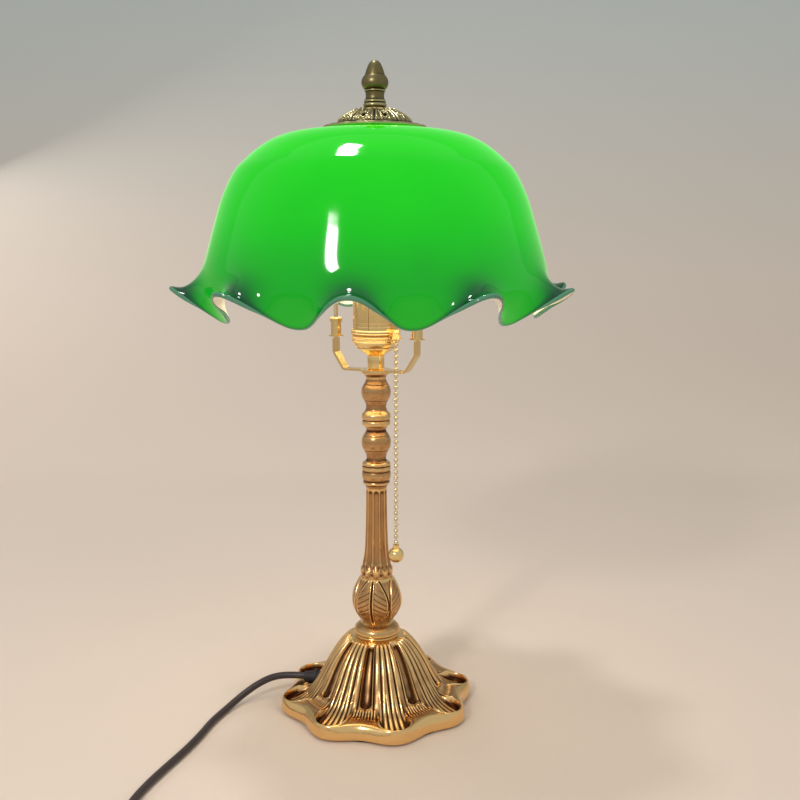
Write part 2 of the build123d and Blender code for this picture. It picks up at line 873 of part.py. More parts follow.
with BuildPart() as harp_stud:
    with Locations((0, 0, stud_plate_foot)):
        Cylinder(
            stud_plate_radius, stud_plate_thickness,
            align=(Align.CENTER, Align.CENTER, Align.MIN),
        )
        Cylinder(5.0, 5.0, align=(Align.CENTER, Align.CENTER, Align.MAX))
    with Locations((0, 0, disc_foot)):
        Cylinder(stud_radius, stud_height, align=(Align.CENTER, Align.CENTER, Align.MIN))
    with Locations(facing(0, saddle_azimuth, harp_top)):
        Cylinder(wire_radius + slip / 2, 4 * stud_plate_radius, mode=Mode.SUBTRACT)
finish(harp_stud, "harp_stud")

# Shade -----------------------------------------------------------------------------
through = stud_radius + free
waist = shade_top - 0.73 * shade_depth
edge = shade_top - shade_depth
dome_curve = [
    (glass_hole_radius, shade_top),
    (glass_hole_radius + 10.0, shade_top),
    (shade_top_flat_radius - 8.0, shade_top - 0.1),
    (shade_radius - 46, shade_top - 4.0),
    (shade_radius - 26, shade_top - 14.2),
    (shade_radius - 11, shade_top - 28.5),
    (shade_radius - 3, shade_top - 45.0),
    (shade_radius + 3, shade_top - 64.0),
    (shade_radius + 8.5, shade_top - 0.65 * shade_depth),
]
turned_up = [
    (shade_radius + 12.2, waist),
    (shade_radius + 17.5, edge + ruffle_rise + 3.5),
    (shade_radius + ruffle_overhang - 9.0, edge + ruffle_rise - 1.0),
    (shade_radius + ruffle_overhang, edge + ruffle_rise),
]
hanging = [
    (shade_radius + 11.0, waist),
    (shade_radius + 12.2, edge + 22.0),
    (shade_radius + 9.6, edge + 10.0),
    (shade_radius + 4.4, edge),
]

ruffle_pitch = 360 / shade_ruffles
with BuildPart() as shade_lobe:
    for step in range(5):
        turn = step / 4
        lift = ((1 + cos(pi * turn)) / 2) ** 1.2
        skirt = [
            (low_r + lift * (up_r - low_r), low_z + lift * (up_z - low_z))
            for (up_r, up_z), (low_r, low_z) in zip(turned_up, hanging)
        ]
        outer = dome_curve + skirt
        inner = inset(outer, glass_wall)
        inner[0] = (glass_hole_radius, shade_floor)
        with BuildSketch(upright(shade_azimuth + turn * ruffle_pitch / 2)):
            with BuildLine():
                Spline(*outer)
                Line(outer[-1], inner[-1])
                Spline(*reversed(inner))
                Line(inner[0], outer[0])
            make_face()
    loft()
    mirror(about=upright(shade_azimuth))

with BuildPart() as shade_glass:
    with PolarLocations(0, shade_ruffles):
        add(shade_lobe.part)
finish(shade_glass, "shade_glass")

with BuildPart() as support_disc:
    with BuildSketch(Plane.XY.offset(disc_foot)):
        Circle(disc_radius)
        Circle(through, mode=Mode.SUBTRACT)
    extrude(amount=disc_thickness)
finish(support_disc, "support_disc")

with BuildPart() as shade_grommet:
    with BuildSketch(Plane.XZ):
        with BuildLine():
            neck = glass_hole_radius - slip
            Polyline(
                (through, disc_foot + disc_thickness),
                (grommet_radius, disc_foot + disc_thickness),
                (grommet_radius, shade_floor - slip),
                (neck, shade_floor - slip),
                (neck, shade_top + slip),
                (grommet_radius, shade_top + slip),
                (grommet_radius, shade_top + grommet_flange),
                (through, shade_top + grommet_flange),
                close=True,
            )
        make_face()
    revolve(axis=Axis.Z)
finish(shade_grommet, "shade_grommet")

plate_foot = shade_top + slip
plate_curve = [
    (cap_plate_radius, plate_foot),
    (cap_plate_radius, plate_foot + cap_plate_thickness),
    (cap_plate_radius - 9.5, plate_foot + 0.32 * cap_plate_height),
    (cap_plate_radius - 17.0, plate_foot + 0.68 * cap_plate_height),
    (washer_radius + 0.8, plate_foot + cap_plate_height),
]
plate_top = plate_foot + cap_plate_height
with BuildPart() as cap_plate:
    with BuildSketch(Plane.XZ):
        with BuildLine():
            Polyline(*plate_curve[:2])
            Spline(*plate_curve[1:])
            Polyline(plate_curve[-1], (through, plate_top),
                     (through, plate_top - cap_plate_thickness),
                     (plate_curve[-1][0], plate_top - cap_plate_thickness))
            Spline(
                *[(x - 0.5, y - cap_plate_thickness) for x, y in reversed(plate_curve[2:-1])],
                (cap_plate_radius - 3.0, plate_foot),
            )
            Line((plate_curve[-1][0], plate_top - cap_plate_thickness),
                 (plate_curve[-2][0] - 0.5, plate_curve[-2][1] - cap_plate_thickness))
            Line((cap_plate_radius - 3.0, plate_foot), plate_curve[0])
        make_face()
    revolve(axis=Axis.Z)
finish(cap_plate, "cap_plate")

with BuildPart() as finial_washer:
    with BuildSketch(Plane.XY.offset(washer_foot)):
        Circle(washer_radius)
        Circle(through, mode=Mode.SUBTRACT)
    extrude(amount=washer_thickness)
finish(finial_washer, "finial_washer")

finial_curve = [
    (finial_radius - 2.2, 0),
    (finial_radius - 1.3, 0.05 * finial_height),
    (finial_radius - 2.7, 0.20 * finial_height),
    (finial_radius - 2.6, 0.32 * finial_height),
    (finial_radius - 0.6, 0.43 * finial_height),
    (finial_radius, 0.52 * finial_height),
    (finial_radius - 3.2, 0.71 * finial_height),
    (finial_radius - 4.5, 0.86 * finial_height),
    (0, finial_height),
]
with BuildPart() as finial:
    with BuildSketch(Plane.XZ):
        with BuildLine():
            Spline(*[(x, finial_foot + y) for x, y in finial_curve])
            Polyline((0, finial_foot + finial_height), (0, finial_foot),
                     (finial_curve[0][0], finial_foot))
        make_face()
    revolve(axis=Axis.Z)
    thread_depth = disc_foot + stud_height + 1.0 - finial_foot
    with Locations((0, 0, finial_foot)):
        Cylinder(
            stud_radius + running, thread_depth,
            align=(Align.CENTER, Align.CENTER, Align.MIN), mode=Mode.SUBTRACT,
        )
finish(finial, "finial")

# Cord ------------------------------------------------------------------------------
outward = at(1, cord_azimuth)
cord_plane = upright(cord_azimuth)
seat = relief_seat_radius
flange_start = seat + relief_flange_start
flange_end = flange_start + relief_flange_thickness
with BuildPart() as cord_relief:
    with BuildSketch(cord_plane):
        with BuildLine():
            Polyline(
                (seat - relief_inside, cord_exit_height + cord_radius),
                (seat - relief_inside, cord_exit_height + relief_radius),
                (flange_start, cord_exit_height + relief_radius),
                (flange_start, cord_exit_height + relief_flange_radius),
                (flange_end, cord_exit_height + relief_flange_radius),
                (flange_end, cord_exit_height + relief_radius),
                (seat + relief_outside, cord_exit_height + relief_tip_radius),
                (seat + relief_outside, cord_exit_height + cord_radius),
                close=True,
            )
        make_face()
    revolve(axis=Axis((0, 0, cord_exit_height), outward))
finish(cord_relief, "cord_relief")


def swept_tube(points, radii, radius):
    """Round tube along straight runs joined by tangent arcs, made outside any piece."""
    with BuildPart() as tube:
        with BuildLine() as run:
            FilletPolyline(*points, radius=radii)
        start = run.line @ 0
        with BuildSketch(Plane(start, z_dir=run.line % 0)):
            Circle(radius)
        sweep(path=run.line)
    return tube, sum(edge.length for edge in run.edges())


def corner_radii(points):
    """Arc for each corner: 0.45 of the shorter run over the tangent of half the turn."""
    found = []
    for before, here, after in zip(points, points[1:], points[2:]):
        come, go = Vector(here) - Vector(before), Vector(after) - Vector(here)
        turn = radians(come.get_angle(go))
        found.append(0.45 * min(come.length, go.length) / tan(turn / 2))
    return found


relief_end = at(seat + relief_outside, cord_azimuth, cord_exit_height)
inner_cord, _ = swept_tube(
    [relief_end, (0, 0, cord_exit_height), (0, 0, tube_top + 0.6)], [26.0], cord_radius
)
finish(inner_cord, "inner_cord")

cord_points = [
    relief_end,
    at(seat + relief_outside + 11.0, cord_azimuth, cord_exit_height),
    (-78.0, 10.0, 15.2),
    (-90.0, 4.4, 11.0),
    (-100.5, -4.6, 5.8),
    (-108.6, -17.6, cord_radius + 0.1),
    (-115.6, -36.5, cord_radius + 0.1),
    (-119.6, -56.0, cord_radius + 0.1),
    (-125.6, -77.0, cord_radius + 0.1),
    (-133.4, -98.5, cord_radius + 0.1),
    (-140.4, -119.0, cord_radius + 0.1),
    (-145.4, -140.0, cord_radius + 0.1),
    (-147.0, -163.0, cord_radius + 0.1),
    (-146.0, -186.0, cord_radius + 0.1),
]
cord_lead, lead_length = swept_tube(cord_points, corner_radii(cord_points), cord_radius)
finish(cord_lead, "cord_lead")

with BuildPart() as cord_coil:
    with BuildSketch(Plane.XZ.offset(-coil_centre[1])):
        with Locations((coil_centre[0] + coil_radius, coil_height / 2)):
            RectangleRounded(coil_width, coil_height, cord_radius - 0.1)
    revolve(axis=Axis((coil_centre[0], coil_centre[1], 0), (0, 0, 1)))
finish(cord_coil, "cord_coil")

coil_outer_turn = coil_radius + coil_width / 2 - cord_radius
tail_start = (coil_centre[0], coil_centre[1] - coil_outer_turn)
top_layer = coil_height - cord_radius - 0.1
tail_points = [
    (*tail_start, top_layer),
    (tail_start[0] + 12.2, tail_start[1] + 0.4, top_layer),
    (tail_start[0] + 26.2, tail_start[1] + 2.4, plug_height / 2 + 0.1),
    (tail_start[0] + 40.6, tail_start[1] + 6.4, plug_height / 2 + 0.1),
]
cord_tail, tail_length = swept_tube(tail_points, corner_radii(tail_points), cord_radius)
finish(cord_tail, "cord_tail")

plug_start = Vector(*tail_points[-1])
plug_heading = (plug_start - Vector(*tail_points[-2])).normalized()
plug_plane = Plane(plug_start, x_dir=(-plug_heading.Y, plug_heading.X, 0), z_dir=plug_heading)
with BuildPart() as plug_body:
    with BuildSketch(plug_plane):
        Circle(plug_neck_radius)
    extrude(amount=plug_neck_length)
    with BuildSketch(plug_plane.offset(plug_neck_length)):
        Circle(plug_neck_radius)
    with BuildSketch(plug_plane.offset(plug_neck_length + plug_shoulder)):
        RectangleRounded(plug_width, plug_height, 4.0)
    loft()
    with BuildSketch(plug_plane.offset(plug_neck_length + plug_shoulder)):
        RectangleRounded(plug_width, plug_height, 4.0)
    extrude(amount=plug_length - plug_shoulder)
finish(plug_body, "plug_body")

with BuildPart() as plug_blades:
    with BuildSketch(plug_plane.offset(plug_neck_length + plug_length)):
        with GridLocations(blade_spacing, 1, 2, 1):
            Rectangle(blade_thickness, blade_width)
    extrude(amount=blade_length)
finish(plug_blades, "plug_blades")

# Lead wires from the cord's end to the terminals --------------------------------------
with BuildPart() as lead_wires:
    for side in (1, -1):
        with BuildLine() as lead:
            FilletPolyline(
                at(1.2, spout_azimuth + side * 90, tube_top + 0.7),
                at(1.2, spout_azimuth + side * 90, tube_top + 3.4),
                at(body_radius - 4.6, spout_azimuth + side * 90, body_foot - 1.4),
                at(body_radius - 4.6, spout_azimuth + side * 90, body_foot - 0.05),
                radius=0.6,
            )
        with BuildSketch(Plane(lead.line @ 0, z_dir=(0, 0, 1))):
            Circle(0.7)
        sweep(path=lead.line)
finish(lead_wires, "lead_wires")

coil_length = 2 * pi * coil_radius * coil_turns
print("cord radii", [round(r, 1) for r in corner_radii(cord_points) + corner_radii(tail_points)])
print("cord length", round(lead_length + coil_length + tail_length, 1), "lead", round(lead_length, 1),
      "coil", round(coil_length, 1), "tail", round(tail_length, 1))
print("top", round(finial_foot + finial_height, 1), "saddle", round(saddle_foot, 1),
      "harp foot", round(harp_foot, 1), "spout", round(spout_height, 1))
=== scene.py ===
"""Looks of a brass table lamp with a pull chain, a harp and a ruffled green glass shade.

Metres, +Z up, the foot's middle on the floor at the origin. Azimuths are in degrees, 0 at
the front (-Y) and 90 on the right (+X). Sizes in the classes are millimetres.
"""

import logging
import math
from dataclasses import dataclass, field
from enum import Enum

import bpy
import numpy as np
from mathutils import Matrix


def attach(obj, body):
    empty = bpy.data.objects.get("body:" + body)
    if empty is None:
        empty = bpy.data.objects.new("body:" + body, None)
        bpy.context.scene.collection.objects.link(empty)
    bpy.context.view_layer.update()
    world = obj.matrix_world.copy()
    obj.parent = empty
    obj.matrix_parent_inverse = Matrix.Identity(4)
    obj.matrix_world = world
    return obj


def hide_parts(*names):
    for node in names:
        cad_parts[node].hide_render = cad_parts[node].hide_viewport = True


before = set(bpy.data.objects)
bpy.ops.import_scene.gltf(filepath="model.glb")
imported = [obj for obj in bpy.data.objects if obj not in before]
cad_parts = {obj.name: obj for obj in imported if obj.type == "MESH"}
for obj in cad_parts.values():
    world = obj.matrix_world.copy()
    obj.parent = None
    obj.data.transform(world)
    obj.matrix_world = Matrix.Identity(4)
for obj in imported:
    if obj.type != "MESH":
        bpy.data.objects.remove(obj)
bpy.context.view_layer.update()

LOG = logging.getLogger("lamp")
MM = 0.001
INSIDE_SLOT, RIM_SLOT = 1, 2

Outline = list[list[tuple[float, float]]]


class Body(str, Enum):
    """The bodies of the frame that new pieces ride on."""

    STAND = "stand"
    SHADE = "shade"
    FINIAL = "finial"


class Slot(str, Enum):
    """Names for material slots."""

    CAST_BRASS = "cast_brass"
    BRIGHT_BRASS = "bright_brass"
    DARK_BRASS = "dark_brass"
    GREEN_GLASS = "green_glass"
    CORD = "cord"


# Numbers and shapes ------------------------------------------------------------------
def linear(red: float, green: float, blue: float) -> tuple[float, float, float, float]:
    """A display colour, 0 to 255, as the shader's linear colour."""
    shares = [channel / 255 for channel in (red, green, blue)]
    return (*[s / 12.92 if s < 0.04045 else ((s + 0.055) / 1.055) ** 2.4 for s in shares], 1.0)


def rise(low: float, high: float, value: np.ndarray) -> np.ndarray:
    """Smooth step from 0 at low to 1 at high."""
    share = np.clip((value - low) / (high - low), 0, 1)
    return share * share * (3 - 2 * share)


def hump(distance: np.ndarray, half: float) -> np.ndarray:
    """Rounded ridge of height 1 and the given half width."""
    return np.where(np.abs(distance) < half, 0.5 + 0.5 * np.cos(np.pi * distance / half), 0.0)


def smooth_run(points: list[tuple[float, float]], spacing: float) -> np.ndarray:
    """Even points along a smooth curve through the given points.

    Args:
        points: The points that the curve passes through; two give a straight run.
        spacing: Distance between the points returned.

    Returns:
        An array of (radius, height) rows, the last point included.
    """
    given = np.array(points, float)
    padded = np.vstack([2 * given[0] - given[1], given, 2 * given[-1] - given[-2]])
    fine = []
    for a, b, c, d in zip(padded, padded[1:], padded[2:], padded[3:]):
        t = np.linspace(0, 1, 24, endpoint=False)[:, None]
        fine.append(0.5 * (2 * b + (c - a) * t + (2 * a - 5 * b + 4 * c - d) * t**2
                           + (3 * b - a - 3 * c + d) * t**3))
    line = np.vstack([*fine, given[-1:]])
    along = np.concatenate([[0], np.cumsum(np.hypot(*np.diff(line, axis=0).T))])
    count = max(2, round(along[-1] / spacing) + 1)
    at = np.linspace(0, along[-1], count)
    return np.column_stack([np.interp(at, along, line[:, k]) for k in (0, 1)])


def outline_rows(outline: Outline, spacing: float) -> np.ndarray:
    """The smooth runs of an outline joined into one row of points."""
    runs = [smooth_run(run, spacing) for run in outline]
    return np.vstack([runs[0], *[run[1:] for run in runs[1:]]])


def blurred(rows: np.ndarray, passes: int = 16) -> np.ndarray:
    """Rows averaged with their neighbours along the outline and round the axis.

    Args:
        rows: Values in rows along the outline and columns round the axis.
        passes: How many times they are averaged.

    Returns:
        The smoothed values, in the same rows and columns.
    """
    for _ in range(passes):
        padded = np.pad(rows, ((1, 1), (0, 0)), mode="edge")
        rows = (padded[:-2] + 2 * rows + padded[2:]) / 4
        rows = (np.roll(rows, 1, axis=1) + 2 * rows + np.roll(rows, -1, axis=1)) / 4
    return rows


def normals_of(radius: np.ndarray, height: np.ndarray) -> tuple[np.ndarray, np.ndarray]:
    """Outward direction of each point in its own upright plane, for rows that run upwards."""
    along_r, along_h = np.gradient(radius, axis=0), np.gradient(height, axis=0)
    length = np.hypot(along_r, along_h) + 1e-9
    return along_h / length, -along_r / length


# Meshes --------------------------------------------------------------------------------
def deselect() -> None:
    """Nothing selected, in object mode."""
    bpy.ops.object.select_all(action="DESELECT")


def pick(piece: bpy.types.Object) -> None:
    """Only this piece selected and active."""
    deselect()
    piece.select_set(True)
    bpy.context.view_layer.objects.active = piece


def spun(name: str, radius: np.ndarray, height: np.ndarray, azimuth: float = 0.0,
         parts: np.ndarray | None = None, glow: np.ndarray | None = None) -> bpy.types.Object:
    """A piece spun about Z from a row of points and then pressed into its own relief.

    Args:
        name: The piece's name.
        radius: Radius of each point, in mm, one row per point of the outline and one
            column per step round the axis.
        height: Height of each point, in mm, in the same rows and columns.
        azimuth: Azimuth of the first column, in degrees.
        parts: Material index of each row, or None where all share the first.
        glow: Painted glow of the bulb's light at each point, or None.

    Returns:
        The finished mesh object, with attribute "hollow": 0 on edges, 1 in recesses.
    """
    rows, steps = radius.shape
    mesh = bpy.data.meshes.new(name)
    mesh.from_pydata([(0, -0.05, i * MM) for i in range(rows)],
                     [(i, i + 1) for i in range(rows - 1)], [])
    piece = bpy.data.objects.new(name, mesh)
    bpy.context.scene.collection.objects.link(piece)
    pick(piece)
    bpy.ops.object.mode_set(mode="EDIT")
    bpy.ops.mesh.select_all(action="SELECT")
    bpy.ops.mesh.spin(steps=steps, angle=2 * math.pi, center=(0, 0, 0), axis=(0, 0, 1))
    bpy.ops.mesh.select_all(action="SELECT")
    bpy.ops.mesh.remove_doubles(threshold=1e-5)
    bpy.ops.object.mode_set(mode="OBJECT")

    co = np.empty(len(mesh.vertices) * 3)
    mesh.vertices.foreach_get("co", co)
    co = co.reshape(-1, 3)
    row = np.rint(co[:, 2] / MM).astype(int)
    turn = np.arctan2(co[:, 0], -co[:, 1])
    column = np.rint(turn / (2 * np.pi / steps)).astype(int) % steps
    if parts is not None:
        corners = [min(row[v] for v in p.vertices) for p in mesh.polygons]
        mesh.polygons.foreach_set("material_index", parts[np.array(corners)].astype(np.int32))
    out_r, out_h = normals_of(radius, height)
    dip = (blurred(radius) - radius) * out_r + (blurred(height) - height) * out_h
    facing = np.sign(np.sum(out_r * radius) + 1e-9)
    r, h = radius[row, column] * MM, height[row, column] * MM
    angle = turn + math.radians(azimuth)
    mesh.vertices.foreach_set("co", np.column_stack(
        [r * np.sin(angle), -r * np.cos(angle), h]).ravel())
    hollow = mesh.attributes.new("hollow", "FLOAT", "POINT")
    hollow.data.foreach_set("value", np.clip(0.5 + facing * dip[row, column] / 0.7, 0, 1))
    if glow is not None:
        lit = mesh.attributes.new("glow", "FLOAT", "POINT")
        lit.data.foreach_set("value", glow[row, column])
    bpy.ops.object.mode_set(mode="EDIT")
    bpy.ops.mesh.select_all(action="SELECT")
    bpy.ops.mesh.remove_doubles(threshold=2e-6)
    bpy.ops.mesh.normals_make_consistent(inside=False)
    bpy.ops.object.mode_set(mode="OBJECT")
    bpy.ops.object.shade_smooth_by_angle(angle=math.radians(40))
    return piece


def settle(piece: bpy.types.Object, body: Body, slot: Slot, *nodes: str) -> None:
    """Rides a new piece on its body in place of the frame's nodes, and logs it.

    Args:
        piece: The new piece.
        body: The body that it moves with.
        slot: A material slot name; not used.
        nodes: The frame's nodes that it takes the place of.
    """
    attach(piece, body.value)
    if nodes:
        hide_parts(*nodes)
    LOG.info("%s on %s, %d faces", piece.name, body.value, len(getattr(piece.data, "polygons", [])))


def dress(material: bpy.types.Material, *nodes: str) -> None:
    """Gives nodes of the frame a finish.

    Args:
        material: The finish.
        nodes: Names of the nodes.
    """
    for name in nodes:
        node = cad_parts[name]
        if not node.material_slots:
            node.data.materials.append(material)
        for holder in node.material_slots:
            holder.material = material
        LOG.info("%s dressed in %s", name, material.name)


# Finishes ------------------------------------------------------------------------------
class Paint:
    """A material's node tree, with short calls to add and join nodes."""

    def __init__(self, name: str) -> None:
        """Starts an empty material with one Principled shader.

        Args:
            name: The material's name.
        """
        self.material = bpy.data.materials.new(name)
        self.material.use_nodes = True
        self.tree = self.material.node_tree
        self.shader = self.tree.nodes["Principled BSDF"]
        self.place = self.node("ShaderNodeTexCoord").outputs["Object"]

    def node(self, kind: str, **settings: object) -> bpy.types.Node:
        """Adds a node.

        Args:
            kind: The node's type.
            settings: Properties to set on it.

        Returns:
            The new node.
        """
        made = self.tree.nodes.new(kind)
        for key, value in settings.items():
            setattr(made, key, value)
        return made

    def group(self, tree: bpy.types.NodeTree, **values: object) -> bpy.types.Node:
        """Places a node group at the piece's own coordinates.

        Args:
            tree: The group.
            values: Its inputs, with the spaces in their names given as underscores.

        Returns:
            The group's node.
        """
        made = self.node("ShaderNodeGroup", node_tree=tree)
        for key, value in values.items():
            made.inputs[key.replace("_", " ")].default_value = value
        self.tree.links.new(self.place, made.inputs["Place"])
        return made

    def set(self, **values: object) -> None:
        """Sets constants on the shader's own sockets."""
        for key, value in values.items():
            self.shader.inputs[key.replace("_", " ")].default_value = value

    def join(self, source: bpy.types.NodeSocket, target: str) -> None:
        """Joins a socket to one of the shader's inputs."""
        self.tree.links.new(source, self.shader.inputs[target])


def socketed(name: str, inputs: dict[str, tuple[str, object]], outputs: dict[str, str]) -> tuple[
        bpy.types.NodeTree, bpy.types.Node, bpy.types.Node]:
    """A new shader node group with named sockets.

    Args:
        name: The group's name.
        inputs: Socket type and default value for each input.
        outputs: Socket type for each output.

    Returns:
        The group, its input node and its output node.
    """
    tree = bpy.data.node_groups.new(name, "ShaderNodeTree")
    for label, (kind, value) in inputs.items():
        made = tree.interface.new_socket(label, in_out="INPUT", socket_type=kind)
        if value is not None:
            made.default_value = value
    for label, kind in outputs.items():
        tree.interface.new_socket(label, in_out="OUTPUT", socket_type=kind)
    return tree, tree.nodes.new("NodeGroupInput"), tree.nodes.new("NodeGroupOutput")


def aged_metal_group() -> bpy.types.NodeTree:
    """Old lacquered metal: dark in its hollows, rubbed bright on its edges, cloudy between.

    Returns:
        The node group.
    """
    tree, given, out = socketed(
        "aged_metal",
        {"Place": ("NodeSocketVector", None), "Hollow": ("NodeSocketFloat", 0.5),
         "Rubbed": ("NodeSocketColor", (1, 1, 1, 1)), "Body": ("NodeSocketColor", (1, 1, 1, 1)),
         "Patina": ("NodeSocketColor", (0, 0, 0, 1)), "Clouds": ("NodeSocketFloat", 90.0),
         "Cloudiness": ("NodeSocketFloat", 0.35), "Smooth": ("NodeSocketFloat", 0.25),
         "Rough": ("NodeSocketFloat", 0.5)},
        {"Colour": "NodeSocketColor", "Roughness": "NodeSocketFloat", "Grain": "NodeSocketFloat"})
    link = tree.links.new

    def noise(scale: float, detail: float) -> bpy.types.Node:
        """A noise texture at the piece's own place.

        Args:
            scale: Number of features in a metre.
            detail: Octaves of finer noise.

        Returns:
            The texture node.
        """
        made = tree.nodes.new("ShaderNodeTexNoise")
        made.inputs["Scale"].default_value = scale
        made.inputs["Detail"].default_value = detail
        link(given.outputs["Place"], made.inputs["Vector"])
        return made

    clouds, grain = noise(90.0, 6.0), noise(900.0, 4.0)
    link(given.outputs["Clouds"], clouds.inputs["Scale"])
    centred = tree.nodes.new("ShaderNodeMath")
    centred.operation = "SUBTRACT"
    centred.inputs[1].default_value = 0.5
    link(clouds.outputs["Fac"], centred.inputs[0])
    mask = tree.nodes.new("ShaderNodeMath")
    mask.operation = "MULTIPLY_ADD"
    link(centred.outputs[0], mask.inputs[0])
    link(given.outputs["Cloudiness"], mask.inputs[1])
    link(given.outputs["Hollow"], mask.inputs[2])
    shades = []
    for low, high in ((0.18, 0.5), (0.52, 0.86)):
        share = tree.nodes.new("ShaderNodeMapRange")
        share.interpolation_type = "SMOOTHSTEP"
        share.inputs["From Min"].default_value = low
        share.inputs["From Max"].default_value = high
        link(mask.outputs[0], share.inputs["Value"])
        shades.append(share.outputs["Result"])
    worn, dark = [tree.nodes.new("ShaderNodeMix") for _ in range(2)]
    worn.data_type = dark.data_type = "RGBA"
    link(shades[0], worn.inputs["Factor"])
    link(given.outputs["Rubbed"], worn.inputs["A"])
    link(given.outputs["Body"], worn.inputs["B"])
    for socket, source in (("Factor", shades[1]), ("A", worn.outputs["Result"]),
                           ("B", given.outputs["Patina"])):
        link(source, [s for s in dark.inputs if s.name == socket and s.enabled][0])
    link([s for s in dark.outputs if s.enabled][0], out.inputs["Colour"])
    rough = tree.nodes.new("ShaderNodeMapRange")
    link(mask.outputs[0], rough.inputs["Value"])
    link(given.outputs["Smooth"], rough.inputs["To Min"])
    link(given.outputs["Rough"], rough.inputs["To Max"])
    link(rough.outputs["Result"], out.inputs["Roughness"])
    link(grain.outputs["Fac"], out.inputs["Grain"])
    return tree


def fine_grain_group() -> bpy.types.NodeTree:
    """Moulded or woven grain: a mottled colour, a height and a roughness that vary finely.

    Returns:
        The node group.
    """
    tree, given, out = socketed(
        "fine_grain",
        {"Place": ("NodeSocketVector", None), "Scale": ("NodeSocketFloat", 600.0),
         "Light": ("NodeSocketColor", (1, 1, 1, 1)), "Dark": ("NodeSocketColor", (0, 0, 0, 1)),
         "Smooth": ("NodeSocketFloat", 0.4), "Rough": ("NodeSocketFloat", 0.6)},
        {"Colour": "NodeSocketColor", "Roughness": "NodeSocketFloat", "Grain": "NodeSocketFloat"})
    link = tree.links.new
    noise = tree.nodes.new("ShaderNodeTexNoise")
    noise.inputs["Detail"].default_value = 6.0
    link(given.outputs["Place"], noise.inputs["Vector"])
    link(given.outputs["Scale"], noise.inputs["Scale"])
    mix = tree.nodes.new("ShaderNodeMix")
    mix.data_type = "RGBA"
    enabled = {s.name: s for s in mix.inputs if s.enabled}
    link(noise.outputs["Fac"], enabled["Factor"])
    link(given.outputs["Light"], enabled["A"])
    link(given.outputs["Dark"], enabled["B"])
    link([s for s in mix.outputs if s.enabled][0], out.inputs["Colour"])
    rough = tree.nodes.new("ShaderNodeMapRange")
    link(noise.outputs["Fac"], rough.inputs["Value"])
    link(given.outputs["Smooth"], rough.inputs["To Min"])
    link(given.outputs["Rough"], rough.inputs["To Max"])
    link(rough.outputs["Result"], out.inputs["Roughness"])
    link(noise.outputs["Fac"], out.inputs["Grain"])
    return tree


@dataclass(frozen=True)
class AgedMetal:
    """A metal with patina in its hollows and rubbed edges."""

    name: str
    rubbed: tuple[float, float, float]
    body: tuple[float, float, float]
    patina: tuple[float, float, float]
    smooth: float
    rough: float
    cloudiness: float = 0.35
    clouds: float = 90.0
    grain: float = 0.03
    relief: bool = True

    def made(self, group: bpy.types.NodeTree) -> bpy.types.Material:
        """The metal's material.

        Args:
            group: The aged metal node group.

        Returns:
            The new material.
        """
        paint = Paint(self.name)
        metal = paint.group(group, Rubbed=linear(*self.rubbed), Body=linear(*self.body),
                            Patina=linear(*self.patina), Cloudiness=self.cloudiness,
                            Clouds=self.clouds, Smooth=self.smooth, Rough=self.rough)
        if self.relief:
            worn = paint.node("ShaderNodeAttribute", attribute_name="hollow")
            paint.tree.links.new(worn.outputs["Fac"], metal.inputs["Hollow"])
        paint.join(metal.outputs["Colour"], "Base Color")
        paint.join(metal.outputs["Roughness"], "Roughness")
        bump = paint.node("ShaderNodeBump")
        bump.inputs["Strength"].default_value = self.grain
        bump.inputs["Distance"].default_value = 0.0005
        paint.tree.links.new(metal.outputs["Grain"], bump.inputs["Height"])
        paint.join(bump.outputs["Normal"], "Normal")
        paint.set(Metallic=1.0)
        return paint.material


@dataclass(frozen=True)
class Moulded:
    """A plastic, rubber, cloth or paper with fine grain."""

    name: str
    light: tuple[float, float, float]
    dark: tuple[float, float, float]
    smooth: float
    rough: float
    scale: float = 600.0
    grain: float = 0.15
    glow: float = 0.0

    def made(self, group: bpy.types.NodeTree) -> bpy.types.Material:
        """The material, lit from within where glow is above 0.

        Args:
            group: The fine grain node group.

        Returns:
            The new material.
        """
        paint = Paint(self.name)
        skin = paint.group(group, Light=linear(*self.light), Dark=linear(*self.dark),
                           Smooth=self.smooth, Rough=self.rough, Scale=self.scale)
        paint.join(skin.outputs["Colour"], "Base Color")
        paint.join(skin.outputs["Roughness"], "Roughness")
        bump = paint.node("ShaderNodeBump")
        bump.inputs["Strength"].default_value = self.grain
        bump.inputs["Distance"].default_value = 0.0004
        paint.tree.links.new(skin.outputs["Grain"], bump.inputs["Height"])
        paint.join(bump.outputs["Normal"], "Normal")
        if self.glow:
            paint.join(skin.outputs["Colour"], "Emission Color")
            paint.set(Emission_Strength=self.glow)
        return paint.material


